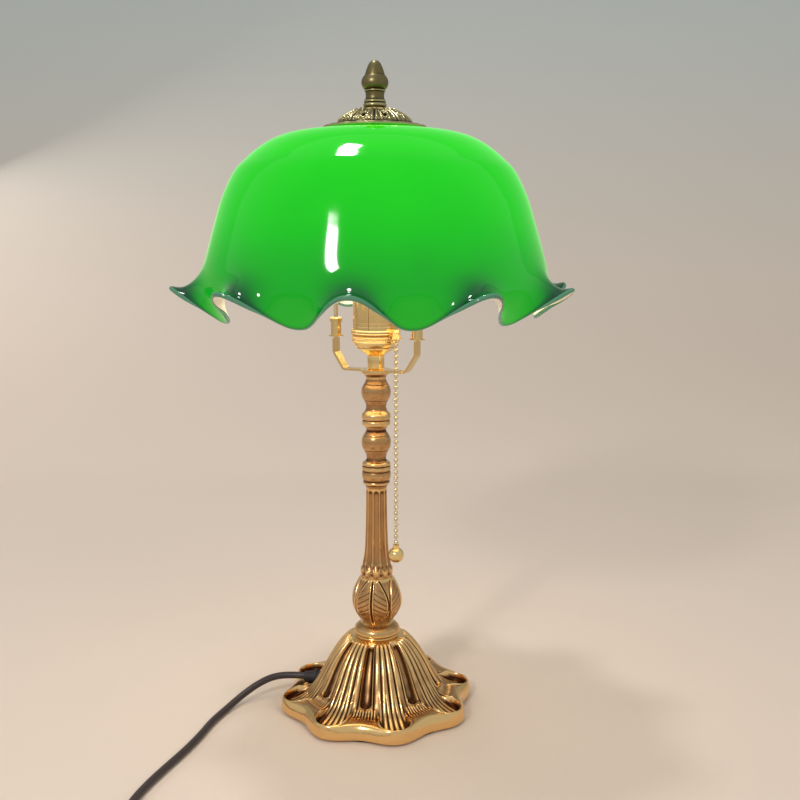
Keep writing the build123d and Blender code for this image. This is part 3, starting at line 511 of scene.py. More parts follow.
@dataclass(frozen=True)
class LitGlass:
    """Cased glass with the bulb's light painted in as emission, dark where little light reaches it.
    """

    name: str
    shades: tuple[tuple[float, tuple[float, float, float]], ...]
    base: tuple[float, float, float]
    strength: float
    roughness: float
    coat: float
    cloud_share: float = 0.1

    def made(self) -> bpy.types.Material:
        """The glass's material, with its painted glow read from the piece's own attribute.

        Returns:
            The new material.
        """
        paint = Paint(self.name)
        lit = paint.node("ShaderNodeAttribute", attribute_name="glow")
        clouds = paint.node("ShaderNodeTexNoise")
        clouds.inputs["Scale"].default_value = 28.0
        clouds.inputs["Detail"].default_value = 3.0
        paint.tree.links.new(paint.place, clouds.inputs["Vector"])
        centred = paint.node("ShaderNodeMath", operation="SUBTRACT")
        centred.inputs[1].default_value = 0.5
        paint.tree.links.new(clouds.outputs["Fac"], centred.inputs[0])
        mixed = paint.node("ShaderNodeMath", operation="MULTIPLY_ADD")
        mixed.inputs[1].default_value = self.cloud_share
        paint.tree.links.new(centred.outputs[0], mixed.inputs[0])
        paint.tree.links.new(lit.outputs["Fac"], mixed.inputs[2])
        ramp = paint.node("ShaderNodeValToRGB")
        stops = ramp.color_ramp.elements
        while len(stops) < len(self.shades):
            stops.new(0.5)
        for stop, (at, colour) in zip(stops, self.shades):
            stop.position, stop.color = at, linear(*colour)
        paint.tree.links.new(mixed.outputs[0], ramp.inputs["Fac"])
        paint.join(ramp.outputs["Color"], "Emission Color")
        paint.set(Base_Color=linear(*self.base), Emission_Strength=self.strength,
                  Roughness=self.roughness, Coat_Weight=self.coat, Coat_Roughness=0.02,
                  IOR=1.42)
        return paint.material


CAST_BRASS = AgedMetal("cast_brass_aged", (240, 198, 136), (184, 138, 92), (74, 44, 26),
                       0.20, 0.44)
TURNED_BRASS = AgedMetal("turned_brass_aged", (236, 194, 132), (186, 140, 94), (84, 52, 31),
                         0.18, 0.40, cloudiness=0.3, clouds=60.0)
CAP_BRASS = AgedMetal("cap_brass_green", (196, 182, 136), (122, 110, 74), (30, 27, 12),
                      0.22, 0.5, cloudiness=0.3)
BRIGHT_BRASS = AgedMetal("polished_brass", (252, 232, 178), (244, 212, 146), (196, 150, 84),
                         0.08, 0.26, cloudiness=0.3, clouds=160.0, grain=0.015)
BRIGHT_FRAME_BRASS = AgedMetal("polished_brass_plain", (252, 232, 178), (242, 210, 146),
                               (200, 154, 88), 0.08, 0.24, cloudiness=0.25, clouds=200.0,
                               grain=0.015, relief=False)
NICKEL = AgedMetal("nickel_brass", (250, 240, 214), (232, 218, 182), (150, 130, 90),
                   0.08, 0.24, cloudiness=0.2, clouds=250.0, grain=0.01, relief=False)
STEEL = AgedMetal("zinc_steel", (222, 224, 226), (190, 194, 198), (110, 112, 112),
                  0.24, 0.5, cloudiness=0.5, clouds=220.0, relief=False)
IRON = AgedMetal("cast_iron_raw", (110, 108, 106), (70, 68, 66), (34, 32, 30),
                 0.5, 0.8, cloudiness=0.6, clouds=150.0, grain=0.3, relief=False)
FELT = Moulded("felt_black", (46, 46, 48), (22, 22, 24), 0.9, 1.0, scale=1400.0, grain=0.6)
RUBBER = Moulded("relief_rubber", (48, 42, 48), (30, 26, 30), 0.5, 0.7)
FLEX = Moulded("cord_pvc", (58, 46, 48), (40, 32, 34), 0.34, 0.46, scale=900.0, grain=0.08)
PLUG = Moulded("plug_pvc", (52, 46, 46), (38, 33, 34), 0.32, 0.5, scale=1600.0, grain=0.25)
PHENOLIC = Moulded("phenolic_brown", (84, 62, 48), (58, 42, 34), 0.3, 0.45)
CARD = Moulded("insulating_card", (196, 168, 118), (170, 140, 92), 0.85, 1.0, scale=500.0)
FROSTED = Moulded("bulb_frosted", (255, 244, 218), (255, 238, 205), 0.5, 0.6, scale=300.0,
                  grain=0.02, glow=9.0)
# Painted glow: the emission of these three glasses stands in for the bulb's light through the
# shade, graded by each point's glow.
SHADE_GREEN = LitGlass("cased_glass_green",
                       ((0.0, (0, 58, 32)), (0.2, (6, 104, 40)), (0.42, (10, 160, 30)),
                        (0.68, (2, 206, 14)), (0.95, (20, 236, 0))),
                       (0, 22, 8), 0.84, 0.07, 0.0)
SHADE_WHITE = LitGlass("cased_glass_white",
                       ((0.0, (120, 108, 84)), (0.3, (196, 182, 146)), (0.7, (236, 226, 196)),
                        (1.0, (255, 248, 226))),
                       (226, 218, 198), 0.5, 0.12, 0.2)
SHADE_RIM = LitGlass("cased_glass_rim",
                     ((0.0, (30, 88, 66)), (0.5, (118, 160, 134)), (0.85, (150, 186, 160)),
                      (1.0, (170, 200, 176))),
                     (70, 120, 92), 0.28, 0.06, 0.3, cloud_share=0.3)


# Turned pieces ---------------------------------------------------------------------------
@dataclass
class TurnedPiece:
    """A piece turned on a lathe: an outline that runs up the outside, and a bore."""

    name: str
    node: str
    outline: Outline
    bore: float = 5.0
    grooves: tuple[tuple[float, float, float], ...] = ()
    steps: int = 120
    spacing: float = 0.4

    def rows(self) -> np.ndarray:
        """The closed outline, grooves and bore included.

        Returns:
            An array of (radius, height) rows.
        """
        outer = outline_rows(self.outline, self.spacing)
        for height, depth, half in self.grooves:
            outer[:, 0] -= depth * hump(outer[:, 1] - height, half)
        low, high = outer[0, 1], outer[-1, 1]
        inner = smooth_run([(self.bore, high), (self.bore, low)], 4.0)
        return np.vstack([outer, inner, outer[:1]])

    def relief(self, rows: np.ndarray, azimuth: np.ndarray) -> np.ndarray:
        """Change of radius over the piece; none on a plain turned piece.

        Args:
            rows: The outline as (radius, height) rows.
            azimuth: Azimuth of each column in degrees.

        Returns:
            Change of radius, one row per point of the outline and one column per azimuth.
        """
        return np.zeros((len(rows), len(azimuth)))

    def build(self, material: bpy.types.Material, body: Body, slot: Slot) -> bpy.types.Object:
        """Spins the piece, dresses it and puts it in its node's place.

        Args:
            material: Its finish.
            body: The body that it moves with.
            slot: Its material slot.

        Returns:
            The finished piece.
        """
        rows = self.rows()
        azimuth = np.linspace(0, 360, self.steps, endpoint=False)
        radius = rows[:, :1] + self.relief(rows, azimuth)
        height = np.repeat(rows[:, 1:], self.steps, axis=1)
        piece = spun(self.name, radius, height)
        piece.data.materials.append(material)
        settle(piece, body, slot, self.node)
        return piece


@dataclass
class LeafVase(TurnedPiece):
    """The vase between foot and shaft, with four hanging leaves and their veins."""

    leaves: int = 4
    leaf_azimuth: float = -12.5
    foot: float = 63.7
    length: float = 33.8

    def relief(self, rows: np.ndarray, azimuth: np.ndarray) -> np.ndarray:
        """Leaf edges, midribs and slanting veins, cut and raised by under a millimetre.

        Args:
            rows: The outline as (radius, height) rows.
            azimuth: Azimuth of each column in degrees.

        Returns:
            Change of radius, one row per point of the outline and one column per azimuth.
        """
        pitch = 360 / self.leaves
        side = (azimuth - self.leaf_azimuth + pitch / 2) % pitch - pitch / 2
        across = np.abs(side)[None, :] / (pitch / 2)
        along = ((rows[:, 1] - self.foot) / self.length)[:, None]
        outside = (rows[:, 0] > self.bore + 1)[:, None]
        arc = np.abs(side)[None, :] * math.pi / 180 * rows[:, :1]
        width = 0.93 * np.clip(np.sin(np.pi * np.clip(along * 0.86 + 0.1, 0, 1)), 0, 1) ** 0.5
        edge = (across - width) * pitch / 2 * math.pi / 180 * rows[:, :1]
        leaf = 0.45 * rise(0.3, -0.5, edge)
        shape = leaf - 0.75 * hump(edge - 0.5, 0.75) + 0.25 * hump(edge + 0.7, 0.7)
        shape -= 0.85 * hump(arc - 0.25, 0.55) - 0.45 * hump(arc - 1.1, 0.75)
        veins = np.abs(np.sin(np.pi * (along * 9 + arc * 0.16)))
        inner = rise(-0.4, -1.6, edge) * rise(1.2, 2.0, arc) * rise(0.92, 0.72, along)
        shape -= 0.32 * inner * (1 - rise(0.0, 0.7, veins))
        shape += 0.35 * hump(across - 1, 0.06) * rise(0.1, 0.3, along)
        return shape * outside * rise(0.0, 0.07, along) * rise(1.0, 0.95, along)


@dataclass
class FlutedShaft(TurnedPiece):
    """The long shaft with ten hollow flutes and a lobed flare at its foot."""

    flutes: int = 10
    low: float = 106.0
    high: float = 159.5
    depth: float = 1.05

    def relief(self, rows: np.ndarray, azimuth: np.ndarray) -> np.ndarray:
        """Round-ended hollow flutes, and lobes round the flare.

        Args:
            rows: The outline as (radius, height) rows.
            azimuth: Azimuth of each column in degrees.

        Returns:
            Change of radius, one row per point of the outline and one column per azimuth.
        """
        pitch = 360 / self.flutes
        side = np.abs((azimuth + pitch / 2) % pitch - pitch / 2)[None, :]
        z = rows[:, 1:]
        arc = side * math.pi / 180 * rows[:, :1]
        half = 0.80 * pitch / 2 * math.pi / 180 * rows[:, :1]
        end = np.maximum(self.low - z, 0) + np.maximum(z - self.high, 0)
        share = np.hypot(arc, end) / half
        flute = -self.depth * np.sqrt(np.clip(1 - share**2, 0, 1))
        lobes = 0.7 * np.cos(np.radians(azimuth * self.flutes))[None, :] 
        flare = rise(98.2, 100.5, z) * rise(108.5, 104.5, z)
        outside = rows[:, :1] > self.bore + 1
        return (flute + flare * (lobes - 0.35)) * outside


@dataclass
class SocketCap(TurnedPiece):
    """The lampholder's bowl, with knurled ribs below its rim."""

    teeth: int = 90

    def relief(self, rows: np.ndarray, azimuth: np.ndarray) -> np.ndarray:
        """Fine upright teeth on the ribs.

        Args:
            rows: The outline as (radius, height) rows.
            azimuth: Azimuth of each column in degrees.

        Returns:
            Change of radius, one row per point of the outline and one column per azimuth.
        """
        z = rows[:, 1:]
        band = rise(267.4, 267.9, z) * rise(272.2, 271.7, z) * (rows[:, :1] > 16.3)
        return 0.14 * band * np.cos(np.radians(azimuth * self.teeth))[None, :]


@dataclass
class SocketShell(TurnedPiece):
    """The lampholder's thin shell with its upright seam."""

    seam_azimuth: float = -17.0

    def relief(self, rows: np.ndarray, azimuth: np.ndarray) -> np.ndarray:
        """One lapped seam from foot to rim.

        Args:
            rows: The outline as (radius, height) rows.
            azimuth: Azimuth of each column in degrees.

        Returns:
            Change of radius, one row per point of the outline and one column per azimuth.
        """
        off = (azimuth - self.seam_azimuth + 180) % 360 - 180
        seam = -0.28 * hump(off, 2.2) + 0.12 * hump(off - 4.0, 3.0)
        return seam[None, :] * (rows[:, :1] > 15.8)


# Foot ------------------------------------------------------------------------------------
@dataclass
class Foot:
    """The cast bell foot: ribs and long hollow channels above eight shells."""

    lobes: int = 8
    shell_azimuth: float = 13.3
    tip_radius: float = 70.4
    valley_radius: float = 63.7
    floor: float = 1.2
    top_radius: float = 18.2
    edge_foot: float = 4.2
    relief_flange_place: float = 46.0
    steps: int = 720
    top_rows: int = 106
    edge_rows: int = 12
    channel_end: float = 43.0
    cord_azimuth: float = -100.0
    bell: list[tuple[float, float]] = field(default_factory=lambda: [
        (18.2, 53.0), (22.5, 50.0), (27.5, 44.6), (32.0, 38.2), (36.0, 31.2), (39.4, 24.2),
        (43.0, 18.2), (47.0, 14.4), (51.0, 12.1), (54.5, 11.6), (58.0, 11.7), (62.0, 11.2),
        (72.0, 10.4)])
    shell: list[tuple[float, float]] = field(default_factory=lambda: [
        (18.2, 53.0), (22.5, 50.0), (27.5, 44.6), (32.0, 38.2), (36.0, 31.2), (40.2, 23.6),
        (44.5, 17.2), (49.5, 12.0), (54.5, 8.6), (59.5, 6.4), (64.0, 5.6), (68.0, 5.9),
        (72.0, 6.6)])

    def profile(self, points: list[tuple[float, float]], radius: np.ndarray) -> np.ndarray:
        """Height of a smooth outline at each radius."""
        line = smooth_run(points, 0.3)
        return np.interp(radius, line[:, 0], line[:, 1])

    def surface(self, radius: np.ndarray, side: np.ndarray) -> tuple[np.ndarray, np.ndarray]:
        """The foot's top as height and relief.

        Args:
            radius: Radius of each point in mm.
            side: Degrees from the middle of the nearest shell.

        Returns:
            Height of the plain surface, and the relief to raise along its normal.
        """
        off = np.abs(side)
        away = 180 / self.lobes - off
        x, y = radius * np.sin(np.radians(side)), radius * np.cos(np.radians(side))
        wide = 10.6 - 0.17 * np.maximum(57 - y, 0)
        front = self.tip_radius - 2.6 - 57
        share = np.hypot(x / wide, np.maximum(y - 57, 0) / front)
        shell_share = rise(1.10, 0.86, share)
        height = (self.profile(self.bell, radius) * (1 - shell_share)
                  + self.profile(self.shell, radius) * shell_share)
        height += 0.8 * rise(50, 56, radius) * rise(0.95, 1.35, share)
        contour = self.contour(side)
        lip = hump((share - 1.03) * wide, 1.5) * rise(47, 56, y)
        height += (1.1 + 1.3 * rise(64, 56, y)) * lip

        arc = away * math.pi / 180 * radius
        half = 5.1 * math.pi / 180 * radius
        reach = np.hypot(arc, 1.7 * np.maximum(radius - self.channel_end, 0)) / half
        begin = rise(19.6, 22.6, radius)
        channel = -2.0 * np.sqrt(np.clip(1 - reach**2, 0, 1)) * begin
        rims = 1.25 * hump(reach - 1.16, 0.24) * begin
        ribs = np.abs(np.sin(np.pi * side / 7.6)) ** 0.6
        fans = np.abs(np.sin(np.pi * side / 3.8)) ** 0.7
        upper = rise(18.2, 20.5, radius) * rise(50, 40, radius) * rise(1.3, 1.44, reach)
        lower = (rise(35, 47, radius) * rise(0.98, 0.86, share)
                 * rise(contour - 3.2, contour - 6.5, radius) * rise(1.25, 1.45, reach))
        flutes = (0.75 * np.abs(np.sin(np.pi * away / 2.4)) * rise(1.3, 1.6, reach)
                  * rise(45.0, 47.5, radius) * rise(56.0, 53.0, radius) * rise(1.12, 1.3, share))
        relief = channel + rims + 1.5 * ribs * upper + 0.85 * fans * lower + flutes
        return height, relief

    def contour(self, side: np.ndarray) -> np.ndarray:
        """Outer radius of the foot."""
        middle, swing = (self.tip_radius + self.valley_radius) / 2, (
            self.tip_radius - self.valley_radius) / 2
        return middle + swing * np.cos(np.radians(self.lobes * side))

    def build(self, material: bpy.types.Material) -> None:
        """Spins the casting and presses its relief.

        Args:
            material: Its finish.
        """
        azimuth = np.linspace(0, 360, self.steps, endpoint=False)
        pitch = 360 / self.lobes
        side = (azimuth - self.shell_azimuth + pitch / 2) % pitch - pitch / 2
        contour = self.contour(side)[None, :]
        sides = side[None, :]
        open_share = rise(0.3, 1.0, np.cos(np.radians(self.lobes * side)) * 0.5 + 0.5)[None, :]
        round_over = 4.6 - 2.9 * open_share
        share = 1 - np.linspace(0, 1, self.top_rows)[:, None]
        radius = self.top_radius + (contour - round_over - self.top_radius) * share
        height, relief = self.surface(radius, np.repeat(sides, len(radius), axis=0))
        out_r, out_h = normals_of(radius, height)
        place = np.radians(azimuth - self.cord_azimuth)[None, :]
        from_cord = np.hypot(radius * np.sin(place),
                             (radius * np.cos(place) - self.relief_flange_place) * 1.4)
        relief *= np.where(np.cos(place) > 0, rise(5.5, 10.0, from_cord), 1.0)
        radius, height = radius + relief * out_r, height + relief * out_h
        turn = np.linspace(0, np.pi / 2, self.edge_rows, endpoint=False)[:, None]
        edge_r = radius[0] + (contour - radius[0]) * np.cos(turn)
        edge_h = self.edge_foot + (height[0] - self.edge_foot) * np.sin(turn)
        wall = np.array([(-1.4, self.floor), (-0.5, self.floor + 0.5), (-0.12, 2.6)])
        wall_r = contour + wall[:, :1]
        wall_h = np.repeat(wall[:, 1:], self.steps, axis=1)
        inside = np.array([(5.0, 53.0), (5.0, 49.6), (14.9, 49.6), (24.6, 42.4), (32.2, 31.0),
                           (36.8, 20.4), (42.2, 11.2), (50.0, 9.0), (50.0, self.floor)])
        inner_r = np.repeat(inside[:, :1], self.steps, axis=1)
        inner_h = np.repeat(inside[:, 1:], self.steps, axis=1)
        piece = spun("foot_casting",
                     np.vstack([wall_r, edge_r, radius, inner_r, wall_r[:1]]),
                     np.vstack([wall_h, edge_h, height, inner_h, wall_h[:1]]))
        piece.data.materials.append(material)
        settle(piece, Body.STAND, Slot.CAST_BRASS, "base_casting")


@dataclass
class Column:
    """The turned stack between the foot and the saddle."""

    collar: TurnedPiece = field(default_factory=lambda: TurnedPiece(
        "collar_turned", "base_collar",
        [[(13.6, 53.0), (15.5, 53.15), (16.0, 53.9), (15.6, 54.7), (15.0, 55.1)],
         [(15.0, 55.1), (16.2, 55.5), (16.6, 56.6), (16.4, 57.9), (15.7, 59.5), (14.0, 61.1),
          (11.8, 62.5), (10.3, 63.7)]]))
    vase: LeafVase = field(default_factory=lambda: LeafVase(
        "vase_leaved", "leaf_vase",
        [[(10.2, 63.7), (10.7, 64.6), (12.3, 67.0), (14.4, 70.2), (16.2, 73.6), (17.1, 77.0),
          (17.3, 80.4), (16.9, 83.6), (16.0, 87.0), (14.5, 90.6), (12.6, 94.2), (11.2, 97.5)]],
        steps=480))
    shaft: FlutedShaft = field(default_factory=lambda: FlutedShaft(
        "shaft_fluted", "fluted_shaft",
        [[(10.9, 97.5), (11.2, 98.6), (11.6, 100.6), (11.7, 102.6), (11.3, 104.6),
          (10.4, 106.9), (9.6, 109.4), (8.9, 113.5), (8.3, 120.0), (8.0, 127.0), (7.7, 136.0),
          (7.5, 146.0), (7.4, 156.0), (7.3, 162.7)]],
        steps=360, spacing=0.5))
    cup: TurnedPiece = field(default_factory=lambda: TurnedPiece(
        "cup_turned", "shaft_cup",
        [[(7.3, 162.7), (7.9, 164.4), (8.1, 165.2)],
         [(8.1, 165.2), (9.2, 165.6), (9.7, 166.6), (9.2, 167.7)],
         [(9.2, 167.7), (9.3, 168.6), (9.9, 169.8), (10.3, 171.8), (10.2, 173.6), (9.7, 175.2)],
         [(9.7, 175.2), (10.1, 175.9), (10.3, 177.1), (10.0, 178.4)],
         [(10.0, 178.4), (9.4, 178.9), (10.0, 179.6), (10.0, 180.8), (9.2, 181.7),
          (8.0, 182.2)]]))
    lower_ball: TurnedPiece = field(default_factory=lambda: TurnedPiece(
        "ball_lower_turned", "lower_ball",
        [[(8.0, 182.2), (7.2, 183.0), (6.9, 184.2), (7.0, 185.6), (7.6, 187.7), (8.7, 189.8),
          (9.8, 192.0), (10.4, 195.0), (10.1, 198.2), (9.1, 200.8), (7.9, 202.6),
          (7.1, 203.8)],
         [(7.1, 203.8), (7.0, 204.8), (7.4, 206.0), (8.0, 207.1)]],
        grooves=((190.2, 0.3, 0.5), (200.6, 0.3, 0.5))))
    ring: TurnedPiece = field(default_factory=lambda: TurnedPiece(
        "ring_turned", "ring_spacer",
        [[(8.0, 207.1), (8.9, 207.5), (9.8, 208.5), (10.1, 209.8), (9.8, 211.1), (9.1, 211.9)],
         [(9.1, 211.9), (9.9, 212.5), (10.3, 214.1), (10.1, 215.7), (9.2, 217.0), (8.4, 217.7),
          (7.9, 218.4)]]))
    upper_ball: TurnedPiece = field(default_factory=lambda: TurnedPiece(
        "ball_upper_turned", "upper_ball",
        [[(7.9, 218.4), (7.3, 219.6), (7.1, 221.1), (7.2, 222.6), (7.8, 224.2), (9.0, 226.4),
          (10.0, 228.8), (10.4, 231.6), (10.0, 234.4), (8.9, 236.8), (7.7, 238.7),
          (7.1, 240.4), (7.1, 242.3)]],
        grooves=((225.8, 0.3, 0.5), (237.2, 0.3, 0.5))))
    flange: TurnedPiece = field(default_factory=lambda: TurnedPiece(
        "flange_turned", "top_flange",
        [[(7.1, 242.3), (7.4, 243.0), (8.3, 243.9), (9.7, 244.7)],
         [(9.7, 244.7), (10.2, 245.1), (10.2, 245.95)]]))

    def build(self, metal: bpy.types.Material) -> None:
        """Makes every piece of the stack.

        Args:
            metal: Their finish.
        """
        for piece in (self.collar, self.vase, self.shaft, self.cup, self.lower_ball,
                      self.ring, self.upper_ball, self.flange):
            piece.build(metal, Body.STAND, Slot.CAST_BRASS)


@dataclass
class Lampholder:
    """Neck nut, bowl and shell of the lampholder."""

    nut_flats: float = 11.6
    cap: SocketCap = field(default_factory=lambda: SocketCap(
        "socket_bowl", "socket_cap",
        [[(5.3, 257.8), (6.6, 257.9), (7.4, 258.4)],
         [(7.4, 258.4), (9.6, 259.8), (12.6, 261.9)],
         [(12.6, 261.9), (13.2, 262.5), (13.1, 263.3)],
         [(13.1, 263.3), (14.4, 264.3), (15.6, 265.8), (16.5, 267.4)],
         [(16.5, 267.4), (16.6, 272.4)],
         [(16.6, 272.4), (17.2, 272.7), (17.3, 273.2), (16.8, 273.8)],
         [(16.8, 273.8), (17.3, 274.2), (17.4, 274.9), (17.1, 275.6)],
         [(17.1, 275.6), (16.3, 275.5), (16.15, 274.6), (16.15, 268.2), (14.6, 265.6),
          (12.0, 263.2)],
         [(12.0, 263.2), (6.6, 259.4), (5.3, 259.2)]],
        bore=5.3, grooves=tuple((267.9 + 1.0 * k, 0.34, 0.42) for k in range(5)), steps=360,
        spacing=0.3))
    shell: SocketShell = field(default_factory=lambda: SocketShell(
        "socket_sleeve", "socket_shell",
        [[(15.4, 270.6), (15.9, 270.8), (16.0, 271.4)],
         [(16.0, 271.4), (16.0, 304.5)],
         [(16.0, 304.5), (16.4, 305.4), (16.45, 306.6), (16.0, 307.8), (15.7, 308.1)],
         [(15.7, 308.1), (15.4, 307.4), (15.4, 306.4)]],
        bore=15.4, grooves=((278.4, 0.2, 0.5), (280.0, 0.2, 0.5)), steps=240, spacing=0.6))

    def build(self, metal: bpy.types.Material, shell_metal: bpy.types.Material) -> None:
        """Makes the nut with eight flats, the bowl and the shell.

        Args:
            metal: Finish of the nut and the bowl.
            shell_metal: Finish of the shell.
        """
        corner = self.nut_flats / 2 / math.cos(math.pi / 8)
        rows = np.array([(corner - 0.6, 247.6), (corner, 248.3), (corner, 257.1),
                         (corner - 0.6, 257.8), (5.4, 257.8), (5.4, 247.6),
                         (corner - 0.6, 247.6)])
        nut = spun("neck_nut_octagon", np.repeat(rows[:, :1], 8, axis=1),
                   np.repeat(rows[:, 1:], 8, axis=1), azimuth=22.5)
        worn = nut.data.attributes["hollow"]
        worn.data.foreach_set("value", np.full(len(nut.data.vertices), 0.45))
        bevel = nut.modifiers.new("edges", "BEVEL")
        bevel.width, bevel.segments = 0.35 * MM, 3
        bevel.limit_method, bevel.angle_limit = "ANGLE", math.radians(30)
        pick(nut)
        bpy.ops.object.modifier_apply(modifier=bevel.name)
        nut.data.materials.append(metal)
        settle(nut, Body.STAND, Slot.BRIGHT_BRASS, "neck_nut")
        self.cap.build(metal, Body.STAND, Slot.BRIGHT_BRASS)
        self.shell.build(shell_metal, Body.STAND, Slot.BRIGHT_BRASS)


# Shade -------------------------------------------------------------------------------------
@dataclass
class Shade:
    """The cased glass shade: a flat-topped dome with ten ruffles round its edge."""

    ruffles: int = 10
    up_azimuth: float = -5.3
    wall: float = 3.0
    steps: int = 500
    spacing: float = 2.6
    bulb_height: float = 345.0
    skirt_rows: int = 20
    rim_rows: int = 7
    dome: list[tuple[float, float]] = field(default_factory=lambda: [
        (6.5, 410.2), (16.5, 410.2), (28.0, 410.1), (45.0, 408.7), (60.0, 406.2),
        (71.0, 401.9), (80.0, 396.0), (88.0, 389.0), (95.0, 381.4), (103.0, 365.0),
        (109.0, 346.2), (114.5, 327.3)])
    turned_up: list[tuple[float, float]] = field(default_factory=lambda: [
        (114.5, 327.3), (118.2, 317.1), (123.5, 310.2), (130.5, 306.2), (137.6, 306.8)])
    hanging: list[tuple[float, float]] = field(default_factory=lambda: [
        (114.5, 327.3), (117.0, 317.1), (118.2, 304.7), (115.6, 293.2), (111.0, 284.6)])

    def build(self, green: bpy.types.Material, white: bpy.types.Material,
              rim: bpy.types.Material) -> None:
        """Spins the glass and bends its skirt into ruffles.

        Args:
            green: Finish of the outside.
            white: Finish of the inside.
            rim: Finish of the clear edge.
        """
        azimuth = np.linspace(0, 360, self.steps, endpoint=False)
        wave = (1 + np.cos(np.radians(self.ruffles * (azimuth - self.up_azimuth)))) / 2
        lift = (wave ** 1.2)[None, :]
        dome = smooth_run(self.dome, self.spacing)
        skirts = []
        for points in (self.turned_up, self.hanging):
            line = smooth_run([self.dome[-2], *points], 0.25)
            start = np.argmin(np.abs(line[:, 1] - points[0][1]))
            at = np.linspace(start, len(line) - 1, self.skirt_rows)[1:]
            skirts.append([np.interp(at, np.arange(len(line)), line[:, k])[:, None]
                           for k in (0, 1)])
        (up_r, up_h), (low_r, low_h) = skirts
        outer_r = np.vstack([np.repeat(dome[:, :1], self.steps, axis=1),
                             low_r + lift * (up_r - low_r)])
        outer_h = np.vstack([np.repeat(dome[:, 1:], self.steps, axis=1),
                             low_h + lift * (up_h - low_h)])
        in_r, in_h = normals_of(outer_r, outer_h)
        inner_r, inner_h = outer_r + self.wall * in_r, outer_h + self.wall * in_h
        inner_r[0], inner_h[0] = self.dome[0][0], self.dome[0][1] - self.wall
        middle_r, middle_h = (outer_r[-1] + inner_r[-1]) / 2, (outer_h[-1] + inner_h[-1]) / 2
        away_r, away_h = outer_r[-1] - middle_r, outer_h[-1] - middle_h
        turn = np.linspace(0, np.pi, self.rim_rows + 2)[1:-1, None]
        rim_r = middle_r + away_r * np.cos(turn) + away_h * np.sin(turn)
        rim_h = middle_h + away_h * np.cos(turn) - away_r * np.sin(turn)
        radius = np.vstack([outer_r, rim_r, inner_r[::-1], outer_r[:1]])
        height = np.vstack([outer_h, rim_h, inner_h[::-1], outer_h[:1]])
        rows = len(outer_r)
        # Painted light: the glow attribute grades the glass's emission by how much bulb light
        # reaches each point.
        glow_out = self.reach(outer_r, outer_h, in_r, in_h)
        # Painted shade: the outside's glow dims to a quarter at the rim edge, rising to full within
        # 5 mm.
        painted_rim_dimming = rise(0, 5, np.cumsum(np.hypot(np.gradient(outer_r, axis=0),
                                             np.gradient(outer_h, axis=0))[::-1], axis=0)[::-1])
        glow = np.vstack([glow_out * (0.25 + 0.75 * painted_rim_dimming),
                          np.repeat(glow_out[-1:], self.rim_rows, axis=0),
                          glow_out[::-1], glow_out[:1]])
        parts = np.zeros(len(radius), int)
        parts[rows - 1:rows + self.rim_rows] = RIM_SLOT
        parts[rows + self.rim_rows:] = INSIDE_SLOT
        piece = spun("shade_ruffled_glass", radius, height, parts=parts, glow=glow)
        for material in (green, white, rim):
            piece.data.materials.append(material)
        settle(piece, Body.SHADE, Slot.GREEN_GLASS, "shade_glass")

    def reach(self, radius: np.ndarray, height: np.ndarray, in_r: np.ndarray,
              in_h: np.ndarray) -> np.ndarray:
        """How much of the bulb's light reaches the wall at each point, painted into the glass as
        glow.

        Args:
            radius: Radius of each point of the outside in mm.
            height: Height of each point in mm.
            in_r: Radial part of the direction into the wall.
            in_h: Upright part of that direction.

        Returns:
            The share of light at each point, 0 to 1.
        """
        to_r, to_h = radius, height - self.bulb_height
        far = np.hypot(to_r, to_h)
        square_on = -(to_r * in_r + to_h * in_h) / far
        return np.clip(0.02 + 1.9 * np.clip(square_on, 0, 1) * (75 / far) ** 2.6, 0, 1)


